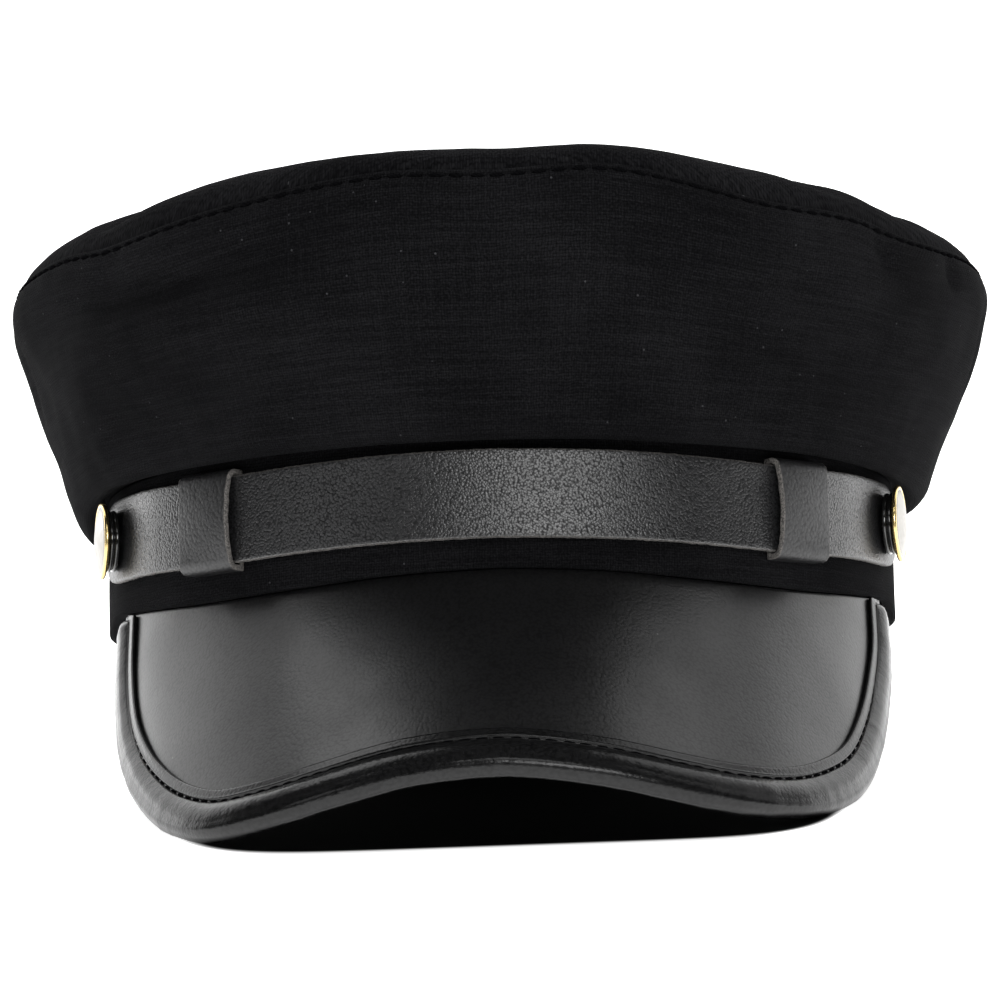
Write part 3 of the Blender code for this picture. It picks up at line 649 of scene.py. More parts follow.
def close_ends(shape: bmesh.types.BMesh) -> None:
    """Closes a bent tube's two open ends and turns its faces outwards."""
    bmesh.ops.holes_fill(shape, edges=shape.edges, sides=0)
    bmesh.ops.recalc_face_normals(shape, faces=shape.faces)


def finish_piece(
    name: str, shape: bmesh.types.BMesh, form: CapForm, material: bpy.types.Material
) -> bpy.types.Object:
    """Turns a shape into a smooth, resting object at the origin.

    Args:
        name: The piece's name.
        shape: Its shape in the wearer's frame, freed here.
        form: The cap's form, for its resting frame.
        material: Its finish.

    Returns:
        The object.
    """
    bmesh.ops.transform(shape, matrix=form.rest(), verts=shape.verts)
    for vertex in shape.verts:
        vertex.co.z = max(vertex.co.z, 0.0)
    mesh = bpy.data.meshes.new(name)
    shape.to_mesh(mesh)
    shape.free()
    mesh.shade_smooth()
    mesh.materials.append(material)
    obj = bpy.data.objects.new(name, mesh)
    bpy.context.scene.collection.objects.link(obj)
    return obj


def give_wall(obj: bpy.types.Object, wall: float, offset: float, edge: float) -> None:
    """Gives an open surface its thickness and softens its edges.

    Args:
        obj: The piece.
        wall: Its thickness.
        offset: -1 for a wall inwards of the surface and 1 for one outwards.
        edge: The radius of its edges.
    """
    solidify = obj.modifiers.new("wall", "SOLIDIFY")
    solidify.thickness, solidify.offset = wall, offset
    solidify.use_even_offset = True
    bevel = obj.modifiers.new("soft edge", "BEVEL")
    bevel.width, bevel.segments, bevel.profile = edge, 2, 0.5
    bevel.limit_method, bevel.angle_limit = "ANGLE", math.radians(SOFT_EDGE_DEGREES)
    bevel.harden_normals = False


def place_piece(obj: bpy.types.Object, slot: str, *nodes: str) -> bpy.types.Object:
    """Sets a piece on the body in place of its solids, and reports it."""
    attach(obj, BODY)
    if nodes:
        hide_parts(*nodes)
    solids = ", ".join(nodes) or "no solid of its own"
    log.info("%s: %d faces, for %s", obj.name, len(obj.data.polygons), solids)
    return obj


@dataclass(frozen=True)
class Thread:
    """A sewing thread that shows as a row of stitches."""

    length: float
    pitch: float
    width: float
    sunk: float = 0.00005
    slip: float = 0.00008
    wander: float = 0.048
    uneven: float = 0.05
    seed: int = 7

    def sew(
        self, line: np.ndarray, normals: np.ndarray, name: str, form: CapForm, material: bpy.types.Material
    ) -> bpy.types.Object:
        """Lays stitches along a line.

        Args:
            line: Closely spaced points of the line, in the wearer's frame.
            normals: The surface's normal at each.
            name: The piece's name.
            form: The cap's form.
            material: The thread's finish.

        Returns:
            One object with all the stitches.
        """
        lengths = running_lengths(line)
        count = int(lengths[-1] / self.pitch)
        chance = np.random.default_rng(self.seed)
        shape = bmesh.new()
        for i in range(count):
            middle = (i + 0.5) * lengths[-1] / count + chance.normal(0, self.slip)
            ends = [
                np.array([np.interp(middle + half, lengths, line[:, axis]) for axis in range(3)])
                for half in (-self.length / 2, self.length / 2)
            ]
            normal = np.array([np.interp(middle, lengths, normals[:, axis]) for axis in range(3)])
            ahead = Vector(ends[1] - ends[0]).normalized()
            up = Vector(normal).normalized()
            side = up.cross(ahead).normalized()
            ahead = (ahead + side * chance.normal(0, self.wander)).normalized()
            side = up.cross(ahead).normalized()
            centre = Vector((ends[0] + ends[1]) / 2) - up * self.sunk
            half_length = self.length / 2 * (1 + chance.normal(0, self.uneven))
            axes = (ahead * half_length, side * self.width / 2, up * self.width / 2)
            turn = Matrix(axes).transposed().to_4x4()
            bmesh.ops.create_uvsphere(
                shape, u_segments=8, v_segments=6, radius=1.0, matrix=Matrix.Translation(centre) @ turn
            )
        bmesh.ops.recalc_face_normals(shape, faces=shape.faces)
        return finish_piece(name, shape, form, material)


class NodeTree:
    """A node tree that is filled through short calls."""

    def __init__(self, tree: bpy.types.NodeTree) -> None:
        """Starts on a tree that is empty or holds its first nodes."""
        self.tree = tree

    def add(
        self, kind: str, inputs: dict[int | str, object] | None = None, **settings: object
    ) -> bpy.types.Node:
        """Adds a node.

        Args:
            kind: The node's type.
            inputs: What each of its inputs is linked to, or its value.
            settings: The node's own settings.

        Returns:
            The node.
        """
        node = self.tree.nodes.new(kind)
        node.location = (200 * len(self.tree.nodes), 0)
        for name, value in settings.items():
            setattr(node, name, value)
        for key, value in (inputs or {}).items():
            if isinstance(value, bpy.types.NodeSocket):
                self.tree.links.new(value, node.inputs[key])
            else:
                node.inputs[key].default_value = value
        return node

    def math(self, operation: str, *values: object) -> bpy.types.NodeSocket:
        """The output of a Math node on up to three sockets or numbers."""
        return self.add("ShaderNodeMath", dict(enumerate(values)), operation=operation).outputs[0]

    def span(
        self,
        value: bpy.types.NodeSocket,
        low: float,
        high: float,
        to_low: float = 0.0,
        to_high: float = 1.0,
    ) -> bpy.types.NodeSocket:
        """A value moved smoothly from one range to another."""
        inputs = {"Value": value, "From Min": low, "From Max": high, "To Min": to_low, "To Max": to_high}
        return self.add("ShaderNodeMapRange", inputs, interpolation_type="SMOOTHSTEP").outputs["Result"]

    def vector(self, operation: str, inputs: dict[int | str, object]) -> bpy.types.NodeSocket:
        """The output of a Vector Math node."""
        return self.add("ShaderNodeVectorMath", inputs, operation=operation).outputs[0]

    def noise(self, place: bpy.types.NodeSocket, scale: object, detail: float = 2.0) -> bpy.types.Node:
        """A noise over a place, with a scale that is a number or a socket."""
        return self.add("ShaderNodeTexNoise", {"Vector": place, "Scale": scale, "Detail": detail})

    def link(self, value: bpy.types.NodeSocket, into: bpy.types.NodeSocket) -> None:
        """Links a value into a node's input."""
        self.tree.links.new(value, into)

    def emboss(
        self, shader: bpy.types.Node, height: bpy.types.NodeSocket, distance: float, strength: float
    ) -> None:
        """Presses a height into a shader's normal."""
        bump = self.add("ShaderNodeBump", {"Height": height, "Distance": distance, "Strength": strength})
        self.link(bump.outputs[0], shader.inputs["Normal"])


class GroupSocket(NamedTuple):
    """One named input or output of a node group."""

    name: str
    kind: str
    value: float | None = None


def new_group(
    name: str, inputs: Sequence[GroupSocket], outputs: Sequence[GroupSocket]
) -> tuple[NodeTree, bpy.types.Node, bpy.types.Node]:
    """Starts a node group.

    Args:
        name: The group's name.
        inputs: Its inputs.
        outputs: Its outputs.

    Returns:
        The tree, its input node and its output node.
    """
    group = bpy.data.node_groups.new(name, "ShaderNodeTree")
    for way, sockets in (("INPUT", inputs), ("OUTPUT", outputs)):
        for socket in sockets:
            made = group.interface.new_socket(name=socket.name, in_out=way, socket_type=socket.kind)
            if socket.value is not None:
                made.default_value = socket.value
    return NodeTree(group), group.nodes.new("NodeGroupInput"), group.nodes.new("NodeGroupOutput")


class Effects:
    """The node groups that several finishes share; the sizes of their patterns are in threads or cells."""

    THREAD_DRIFT = 0.11
    DRIFT_THREADS = 6.0
    THREAD_ROUNDNESS = 0.7
    WEFT_STREAK = (0.030, 0.55, 1.0)
    WARP_STREAK = (0.45, 0.022, 1.0)
    WEFT_SHARE = 0.7
    WARP_SHARE = 0.3
    SLUB_HEIGHT = 0.6
    CELL_WARP = 0.6
    CELL_WARP_REACH = 0.00016
    CELL_DOME = 2.0
    FINE_GRAIN = 1.9
    FINE_GRAIN_HEIGHT = 0.6
    LEATHER_DRIFT = 38.0
    LINT_SHARE = 0.10

    def __init__(self) -> None:
        """Builds each group once."""
        self.weave = self.make_weave()
        self.grain = self.make_grain()
        self.lint = self.make_lint()

    @classmethod
    def make_weave(cls) -> bpy.types.NodeTree:
        """A plain weave of uneven threads, laid over a UV map in metres."""
        inputs = (
            GroupSocket("Lay", "NodeSocketVector"),
            GroupSocket("Threads per metre", "NodeSocketFloat", 2000.0),
            GroupSocket("Wander", "NodeSocketFloat", 0.35),
        )
        outputs = tuple(GroupSocket(name, "NodeSocketFloat") for name in ("Height", "Slub", "Thread"))
        tree, start, end = new_group("plain_weave", inputs, outputs)
        count = start.outputs["Threads per metre"]
        scaled = tree.vector("SCALE", {0: start.outputs["Lay"], "Scale": count})
        drift = tree.noise(scaled, cls.THREAD_DRIFT).outputs["Color"]
        centred = tree.vector("SUBTRACT", {0: drift, 1: (0.5, 0.5, 0.5)})
        strength = tree.math("MULTIPLY", start.outputs["Wander"], cls.DRIFT_THREADS)
        moved = tree.vector("SCALE", {0: centred, "Scale": strength})
        place = tree.vector("ADD", {0: scaled, 1: moved})
        parts = tree.add("ShaderNodeSeparateXYZ", {0: place})
        waves = [tree.math("SINE", tree.math("MULTIPLY", parts.outputs[i], math.pi)) for i in (0, 1)]
        over = tree.math("GREATER_THAN", tree.math("MULTIPLY", waves[0], waves[1]), 0.0)
        threads = [tree.math("POWER", tree.math("ABSOLUTE", wave), cls.THREAD_ROUNDNESS) for wave in waves]
        mixing = {0: over, 2: threads[0], 3: threads[1]}
        height = tree.add("ShaderNodeMix", mixing, data_type="FLOAT").outputs[0]
        streaks = []
        for stretch in (cls.WEFT_STREAK, cls.WARP_STREAK):
            drawn = tree.vector("MULTIPLY", {0: scaled, 1: stretch})
            streaks.append(tree.noise(drawn, 1.0).outputs["Fac"])
        weft = tree.math("MULTIPLY", tree.span(streaks[0], 0.30, 0.75), cls.WEFT_SHARE)
        warp = tree.math("MULTIPLY", tree.span(streaks[1], 0.35, 0.75), cls.WARP_SHARE)
        slub = tree.math("ADD", weft, warp)
        tree.link(height, end.inputs["Thread"])
        tree.link(slub, end.inputs["Slub"])
        raised = tree.math("MULTIPLY", slub, cls.SLUB_HEIGHT)
        tree.link(tree.math("ADD", height, raised), end.inputs["Height"])
        return tree.tree

    @classmethod
    def make_grain(cls) -> bpy.types.NodeTree:
        """A leather's grain of small cells with creases between them, and slow unevenness."""
        inputs = (
            GroupSocket("Vector", "NodeSocketVector"),
            GroupSocket("Cells per metre", "NodeSocketFloat", 1100.0),
            GroupSocket("Softness", "NodeSocketFloat", 0.4),
        )
        outputs = tuple(GroupSocket(name, "NodeSocketFloat") for name in ("Height", "Pore", "Drift"))
        tree, start, end = new_group("leather_grain", inputs, outputs)
        source = start.outputs["Vector"]
        cells = start.outputs["Cells per metre"]
        warp = tree.noise(source, tree.math("MULTIPLY", cells, cls.CELL_WARP))
        bent = tree.vector("SCALE", {0: warp.outputs["Color"], "Scale": cls.CELL_WARP_REACH})
        place = tree.vector("ADD", {0: source, 1: bent})
        pebbles = tree.add(
            "ShaderNodeTexVoronoi",
            {"Vector": place, "Scale": cells, "Smoothness": start.outputs["Softness"]},
            feature="SMOOTH_F1",
        ).outputs["Distance"]
        squared = tree.math("MULTIPLY", pebbles, pebbles)
        domed = tree.math("SUBTRACT", 1.0, tree.math("MULTIPLY", squared, cls.CELL_DOME))
        fine = tree.noise(source, tree.math("MULTIPLY", cells, cls.FINE_GRAIN)).outputs["Fac"]
        height = tree.math("ADD", domed, tree.math("MULTIPLY", fine, cls.FINE_GRAIN_HEIGHT))
        tree.link(height, end.inputs["Height"])
        tree.link(tree.span(pebbles, 0.35, 0.75), end.inputs["Pore"])
        tree.link(tree.noise(source, cls.LEATHER_DRIFT, 3.0).outputs["Fac"], end.inputs["Drift"])
        return tree.tree

    @classmethod
    def make_lint(cls) -> bpy.types.NodeTree:
        """Sparse specks of pale lint and dust."""
        inputs = (
            GroupSocket("Vector", "NodeSocketVector"),
            GroupSocket("Specks per metre", "NodeSocketFloat", 420.0),
            GroupSocket("Size", "NodeSocketFloat", 0.10),
        )
        tree, start, end = new_group("fine_lint", inputs, (GroupSocket("Mask", "NodeSocketFloat"),))
        sockets = {"Vector": start.outputs["Vector"], "Scale": start.outputs["Specks per metre"]}
        specks = tree.add("ShaderNodeTexVoronoi", sockets)
        chance = tree.add("ShaderNodeSeparateColor", {0: specks.outputs["Color"]}).outputs[0]
        keep = tree.math("GREATER_THAN", chance, 1.0 - cls.LINT_SHARE)
        small = tree.math("LESS_THAN", specks.outputs["Distance"], start.outputs["Size"])
        tree.link(tree.math("MULTIPLY", keep, small), end.inputs["Mask"])
        return tree.tree


def new_material(name: str) -> tuple[bpy.types.Material, NodeTree, bpy.types.Node]:
    """Starts a material and gives it, its tree and its shader."""
    material = bpy.data.materials.new(name)
    material.use_nodes = True
    return material, NodeTree(material.node_tree), material.node_tree.nodes["Principled BSDF"]


Colour = tuple[float, float, float]


def mixed(
    tree: NodeTree, share: bpy.types.NodeSocket, first: object, second: object
) -> bpy.types.NodeSocket:
    """Two colours mixed by a share; each is a socket or a colour."""
    inputs = {0: share}
    for key, colour in ((6, first), (7, second)):
        inputs[key] = colour if isinstance(colour, bpy.types.NodeSocket) else (*colour, 1.0)
    return tree.add("ShaderNodeMix", inputs, data_type="RGBA").outputs[2]


@dataclass(frozen=True)
class ClothFinish:
    """Matt black plain-weave cotton, whose tones are shares of the way from the low colour to the high."""

    name: str = "black_cotton"
    low: Colour = (0.0024, 0.0024, 0.0027)
    high: Colour = (0.0138, 0.0138, 0.0150)
    lint: Colour = (0.04, 0.04, 0.043)
    threads_per_metre: float = 1650.0
    slub_tone: float = 0.30
    thread_tone: float = 0.36
    cloud_scale: float = 26.0
    cloud_tones: tuple[float, float] = (-0.08, 0.10)
    fleck_scale: float = 1700.0
    fleck_tones: tuple[float, float] = (-0.13, 0.13)
    roughness: float = 0.92
    specular: float = 0.02
    bump: float = 0.00013
    bump_strength: float = 0.85

    def material(self, effects: Effects) -> bpy.types.Material:
        """Builds the cloth's nodes over its own lay."""
        material, tree, shader = new_material(self.name)
        lay = tree.add("ShaderNodeUVMap", uv_map=LAY).outputs[0]
        weave = tree.add("ShaderNodeGroup", node_tree=effects.weave)
        tree.link(lay, weave.inputs["Lay"])
        weave.inputs["Threads per metre"].default_value = self.threads_per_metre
        clouds = tree.noise(lay, self.cloud_scale, 3.0).outputs["Fac"]
        flecks = tree.noise(lay, self.fleck_scale, 1.0).outputs["Fac"]
        slub = tree.math("MULTIPLY", weave.outputs["Slub"], self.slub_tone)
        tone = tree.math("MULTIPLY", tree.math("ADD", slub, self.thread_tone), weave.outputs["Thread"])
        tone = tree.math("ADD", tone, tree.span(clouds, 0.3, 0.7, *self.cloud_tones))
        tone = tree.math("ADD", tone, tree.span(flecks, 0.32, 0.68, *self.fleck_tones))
        colour = mixed(tree, tree.span(tone, 0.05, 0.95), self.low, self.high)
        lint = tree.add("ShaderNodeGroup", node_tree=effects.lint)
        tree.link(lay, lint.inputs["Vector"])
        colour = mixed(tree, lint.outputs["Mask"], colour, self.lint)
        tree.link(colour, shader.inputs["Base Color"])
        shader.inputs["Roughness"].default_value = self.roughness
        shader.inputs["Specular IOR Level"].default_value = self.specular
        tree.emboss(shader, weave.outputs["Height"], self.bump, self.bump_strength)
        return material


@dataclass(frozen=True)
class LeatherFinish:
    """Black leather, smooth or pebble-grained, with paler raw edges where the piece marks them."""

    name: str
    colour: Colour
    roughness: float
    cells_per_metre: float
    bump: float
    bump_strength: float = 0.8
    softness: float = 0.4
    specular: float = 0.5
    pores: float = 0.1
    pore_tone: float = 0.5
    smoother: float = 0.035
    rougher: float = 0.045
    lint: Colour = (0.08, 0.08, 0.08)
    lint_per_metre: float = 260.0
    lint_size: float = 0.045
    raw: Colour | None = None
    raw_roughness: float = 0.4
    fuzz_scale: float = 2600.0

    def material(self, effects: Effects) -> bpy.types.Material:
        """Builds the leather's nodes over object coordinates."""
        material, tree, shader = new_material(self.name)
        place = tree.add("ShaderNodeTexCoord").outputs["Object"]
        grain = tree.add("ShaderNodeGroup", node_tree=effects.grain)
        tree.link(place, grain.inputs["Vector"])
        grain.inputs["Cells per metre"].default_value = self.cells_per_metre
        grain.inputs["Softness"].default_value = self.softness
        dark = tuple(channel * self.pore_tone for channel in self.colour)
        colour = mixed(tree, grain.outputs["Pore"], self.colour, dark)
        lint = tree.add("ShaderNodeGroup", node_tree=effects.lint)
        tree.link(place, lint.inputs["Vector"])
        lint.inputs["Specks per metre"].default_value = self.lint_per_metre
        lint.inputs["Size"].default_value = self.lint_size
        colour = mixed(tree, lint.outputs["Mask"], colour, self.lint)
        least, most = self.roughness - self.smoother, self.roughness + self.rougher
        rough = tree.span(grain.outputs["Drift"], 0.3, 0.7, least, most)
        if self.raw:
            edge = tree.add("ShaderNodeAttribute", attribute_name=RAW_EDGE).outputs["Fac"]
            fuzz = tree.noise(place, self.fuzz_scale, 3.0).outputs["Fac"]
            shown = tree.math("MULTIPLY", edge, tree.span(fuzz, 0.35, 0.62, 0.25, 1.0))
            colour = mixed(tree, shown, colour, self.raw)
            rough = tree.math("ADD", rough, tree.math("MULTIPLY", edge, self.raw_roughness))
        tree.link(colour, shader.inputs["Base Color"])
        tree.link(rough, shader.inputs["Roughness"])
        even = tree.math("SUBTRACT", 1.0, tree.math("MULTIPLY", grain.outputs["Pore"], self.pores))
        tree.link(tree.math("MULTIPLY", even, self.specular), shader.inputs["Specular IOR Level"])
        tree.emboss(shader, grain.outputs["Height"], self.bump, self.bump_strength)
        return material


@dataclass(frozen=True)
class MetalFinish:
    """Polished metal or gloss lacquer with faint handling marks."""

    name: str
    colour: Colour
    roughness: float
    metallic: float
    coat: float = 0.0
    coat_roughness: float = 0.06
    mark_scale: float = 900.0
    mark_roughness: tuple[float, float] = (-0.03, 0.06)
    cloud_scale: float = 140.0
    cloud_share: float = 0.6
    dullness: float = 0.78
    bump: float = 0.00001
    bump_strength: float = 0.5

    def material(self) -> bpy.types.Material:
        """Builds the finish with uneven polish."""
        material, tree, shader = new_material(self.name)
        place = tree.add("ShaderNodeTexCoord").outputs["Object"]
        marks = tree.noise(place, self.mark_scale, 4.0).outputs["Fac"]
        clouds = tree.noise(place, self.cloud_scale, 2.0).outputs["Fac"]
        rough = tree.math("ADD", tree.span(marks, 0.35, 0.7, *self.mark_roughness), self.roughness)
        tree.link(rough, shader.inputs["Roughness"])
        dull = tuple(channel * self.dullness for channel in self.colour)
        share = tree.span(clouds, 0.35, 0.7, 0.0, self.cloud_share)
        tree.link(mixed(tree, share, self.colour, dull), shader.inputs["Base Color"])
        shader.inputs["Metallic"].default_value = self.metallic
        shader.inputs["Coat Weight"].default_value = self.coat
        shader.inputs["Coat Roughness"].default_value = self.coat_roughness
        tree.emboss(shader, marks, self.bump, self.bump_strength)
        return material


@dataclass(frozen=True)
class ThreadFinish:
    """Black sewing thread with its twist."""

    name: str = "black_thread"
    colour: Colour = (0.0016, 0.0016, 0.0018)
    paler: float = 2.2
    roughness: float = 0.95
    twists_per_metre: float = 700.0
    distortion: float = 2.0
    bump: float = 0.00006
    bump_strength: float = 0.8

    def material(self) -> bpy.types.Material:
        """Builds the thread's twist as bands."""
        material, tree, shader = new_material(self.name)
        place = tree.add("ShaderNodeTexCoord").outputs["Object"]
        bands = {"Vector": place, "Scale": self.twists_per_metre, "Distortion": self.distortion}
        twist = tree.add("ShaderNodeTexWave", bands, bands_direction="DIAGONAL").outputs["Fac"]
        pale = tuple(channel * self.paler for channel in self.colour)
        tree.link(mixed(tree, twist, self.colour, pale), shader.inputs["Base Color"])
        shader.inputs["Roughness"].default_value = self.roughness
        shader.inputs["Specular IOR Level"].default_value = 0.0
        tree.emboss(shader, twist, self.bump, self.bump_strength)
        return material


@dataclass(frozen=True)
class Finishes:
    """Every finish of the cap, as built materials."""

    cotton: bpy.types.Material
    thread: bpy.types.Material
    peak_leather: bpy.types.Material
    binding_leather: bpy.types.Material
    strap_leather: bpy.types.Material
    keeper_leather: bpy.types.Material
    brass: bpy.types.Material
    brass_painted_glare: bpy.types.Material
    lacquer: bpy.types.Material

    @classmethod
    def built(cls) -> "Finishes":
        """Builds all the materials."""
        effects = Effects()
        raw = (0.16, 0.15, 0.14)
        smooth = (0.0055, 0.0055, 0.0058)
        glossy = (0.0050, 0.0050, 0.0052)
        strap = (0.0120, 0.0120, 0.0128)
        leathers = (
            LeatherFinish("smooth_peak_leather", smooth, 0.33, 1500, 0.000014),
            LeatherFinish("glossy_binding_leather", glossy, 0.24, 1300, 0.00002, specular=0.30),
            LeatherFinish(
                "grained_strap_leather",
                strap,
                roughness=0.31,
                cells_per_metre=1900,
                bump=0.00006,
                softness=0.10,
                specular=0.9,
                pores=0.5,
                raw=raw,
            ),
            LeatherFinish("smooth_keeper_leather", strap, 0.42, 1300, 0.00004, raw=raw),
        )
        metals = (
            MetalFinish("polished_brass", (0.83, 0.64, 0.28), 0.22, 1.0),
            # Painted reflection: the dome's face gets a paler, untinted copy of the brass, which stands in
            # for the white glare it reflects.
            MetalFinish("brass_face_painted_glare", (0.38, 0.365, 0.34), 0.36, 1.0),
            MetalFinish("black_lacquer", (0.008, 0.008, 0.008), 0.14, 0.0, 0.6),
        )
        return cls(
            ClothFinish().material(effects),
            ThreadFinish().material(),
            *(leather.material(effects) for leather in leathers),
            *(metal.material() for metal in metals),
        )


@dataclass(frozen=True)
class Crown:
    """The flared cloth wall, the soft top panel and the topstitched seam between them."""

    form: CapForm
    wall_columns: int = 480
    wall_rows: int = 76
    top_squares: int = 150
    row_ease: float = 0.4
    row_power: float = 1.6
    stitch_drop: float = 0.0018
    stitch_lift: float = 0.00030
    ridge: float = 0.00045
    ridge_drop: float = 0.0006
    ridge_width: float = 0.0007
    groove: float = 0.00040
    groove_width: float = 0.0005
    pucker: float = 0.00028
    pucker_size: float = 0.006
    pucker_stretch: float = 0.25
    pucker_radius: float = 0.118
    wall_pucker: tuple[float, float] = (0.0045, 0.0032)
    top_pucker: tuple[float, float] = (0.0035, 0.003)
    ruffle: float = 0.00042
    wall_ruffle: float = 1.6
    top_ruffle: float = 1.7
    fine_ruffle: float = 0.5
    upright_stretch: float = 0.7
    wall_ruffle_size: float = 0.030
    top_ruffle_size: float = 0.032
    fine_ruffle_size: float = 0.011
    fold_hold: float = 0.012
    seam_hold: float = 0.002
    seam_fade: float = 0.010
    top_ease: float = 0.65
    top_hold: float = 0.01
    top_fade: float = 0.08
    edge: float = 0.0004
    tuck: float = 0.0010
    tuck_width: float = 0.0006

    def even_rows(self) -> tuple[np.ndarray, np.ndarray]:
        """Places in the wall's profile at even lengths up the cloth, and those lengths."""
        row = np.linspace(0, len(WALL_PROFILE) - 1, 1500)
        points = self.form.wall(np.zeros(row.shape), row)
        lengths = running_lengths(points)
        share = np.linspace(0, 1, self.wall_rows + 1)
        eased = (1 - (1 - share) ** self.row_power) * self.row_ease + share * (1 - self.row_ease)
        wanted = eased * lengths[-1]
        return np.interp(wanted, lengths, row), wanted

    def seam_relief(self, angle: np.ndarray, drop: np.ndarray) -> np.ndarray:
        """How far the wall stands out near the seam: the edge's ridge, the groove and the puckers."""
        ridge = self.ridge * bell(drop, self.ridge_drop, self.ridge_width)
        groove = self.groove * bell(drop, self.stitch_drop, self.groove_width)
        around = angle * (self.form.band_half_length + self.form.crown_flare)
        places = np.stack([around, 0 * around, 0 * around + drop * self.pucker_stretch], -1)
        puckers = ripple(places, self.pucker_size, seed=3.0, octaves=1) * bell(drop, *self.wall_pucker)
        return ridge - groove + self.pucker * puckers

    def make_wall(self, finishes: Finishes) -> bpy.types.Object:
        """The wall from the fold over the band up to the rim seam."""
        rows, lengths = self.even_rows()

        def place(column: np.ndarray, row: np.ndarray) -> tuple[np.ndarray, np.ndarray]:
            """The point and lay of each vertex."""
            angle = math.tau * column / self.wall_columns - math.pi
            profile_row = rows[row.astype(int)]
            length = lengths[row.astype(int)]
            drop = lengths[-1] - length
            base = self.form.wall(angle, profile_row)
            free = np.clip(length / self.fold_hold, 0, 1)
            free = free * np.clip((drop - self.seam_hold) / self.seam_fade, 0, 1)
            stretched = base * np.array([1, 1, self.upright_stretch])
            soft = ripple(stretched, self.wall_ruffle_size, seed=1.0, octaves=3)
            fine = ripple(base, self.fine_ruffle_size, seed=2.0, octaves=2)
            ruffled = soft * self.ruffle * self.wall_ruffle + fine * self.ruffle * self.fine_ruffle
            relief = self.seam_relief(angle, drop) + ruffled * free
            around = angle * self.form.wall_radius()
            return self.form.wall(angle, profile_row, relief), np.stack([around, length], -1)

        shape = bend_grid(self.wall_columns, self.wall_rows, place, closed=False)
        obj = finish_piece("crown_wall_cloth", shape, self.form, finishes.cotton)
        give_wall(obj, self.form.cloth_wall, -1.0, self.edge)
        return place_piece(obj, "cloth", "crown_wall")

    def make_top(self, finishes: Finishes) -> bpy.types.Object:
        """The top panel, a round of cloth that puffs up from the seam."""
        squares = self.top_squares

        def place(column: np.ndarray, row: np.ndarray) -> tuple[np.ndarray, np.ndarray]:
            """The point and lay of each vertex, a square bent to a round."""
            a, b = 2 * column / squares - 1, 2 * row / squares - 1
            ring = np.maximum(np.abs(a), np.abs(b))
            safe = np.maximum(ring, TINY)
            sideways = np.abs(a) >= np.abs(b)
            turn = np.where(
                sideways,
                np.where(a >= 0, 0.0, math.pi) + math.pi / 4 * b / safe * np.sign(a + (a == 0)),
                math.pi / 2 * np.sign(b) - math.pi / 4 * a / safe * np.sign(b + (b == 0)),
            )
            angle = turn + math.pi / 2
            inset = (1 - self.top_ease) * (1 - ring) + self.top_ease * (1 - ring) ** 2
            points = self.form.top(angle, inset)
            free = np.clip((inset - self.top_hold) / self.top_fade, 0, 1)
            soft = ripple(points, self.top_ruffle_size, seed=4.0, octaves=3)
            fine = ripple(points, self.fine_ruffle_size, seed=5.0, octaves=2)
            lift = soft * self.ruffle * self.top_ruffle + fine * self.ruffle * self.fine_ruffle
            edge = inset * (self.form.band_half_length + self.form.crown_flare)
            places = np.stack([angle * self.pucker_radius, 0 * edge, edge * self.pucker_stretch], -1)
            puckers = ripple(places, self.pucker_size, seed=6.0, octaves=1)
            puckers = puckers * bell(edge, *self.top_pucker) * self.pucker
            tucked = self.tuck * np.clip(1 - edge / self.tuck_width, 0, 1)
            points[:, 2] += lift * free + puckers - tucked
            return points, points[:, :2]

        shape = bend_grid(squares, squares, place, closed=False)
        obj = finish_piece("crown_top_cloth", shape, self.form, finishes.cotton)
        give_wall(obj, self.form.cloth_wall, -1.0, self.edge)
        return place_piece(obj, "cloth", "crown_top")

    def make_stitches(self, finishes: Finishes) -> bpy.types.Object:
        """The line of topstitches under the rim seam."""
        rows, lengths = self.even_rows()
        stitch_row = np.interp(lengths[-1] - self.stitch_drop, lengths, rows)
        angle = np.linspace(-math.pi, math.pi, 1441)
        relief = self.seam_relief(angle, np.full(angle.shape, self.stitch_drop))
        line = self.form.wall(angle, np.full(angle.shape, stitch_row), relief + self.stitch_lift)
        near = 0.12
        above = self.form.wall(angle, np.full(angle.shape, stitch_row + near))
        below = self.form.wall(angle, np.full(angle.shape, stitch_row - near))
        around = np.roll(line, -1, axis=0) - np.roll(line, 1, axis=0)
        around[0] = around[-1] = line[1] - line[0]
        normals = unit(np.cross(around, above - below))
        thread = Thread(length=0.0030, pitch=0.0043, width=0.00100)
        obj = thread.sew(line, normals, "crown_topstitches", self.form, finishes.thread)
        return place_piece(obj, "cloth")


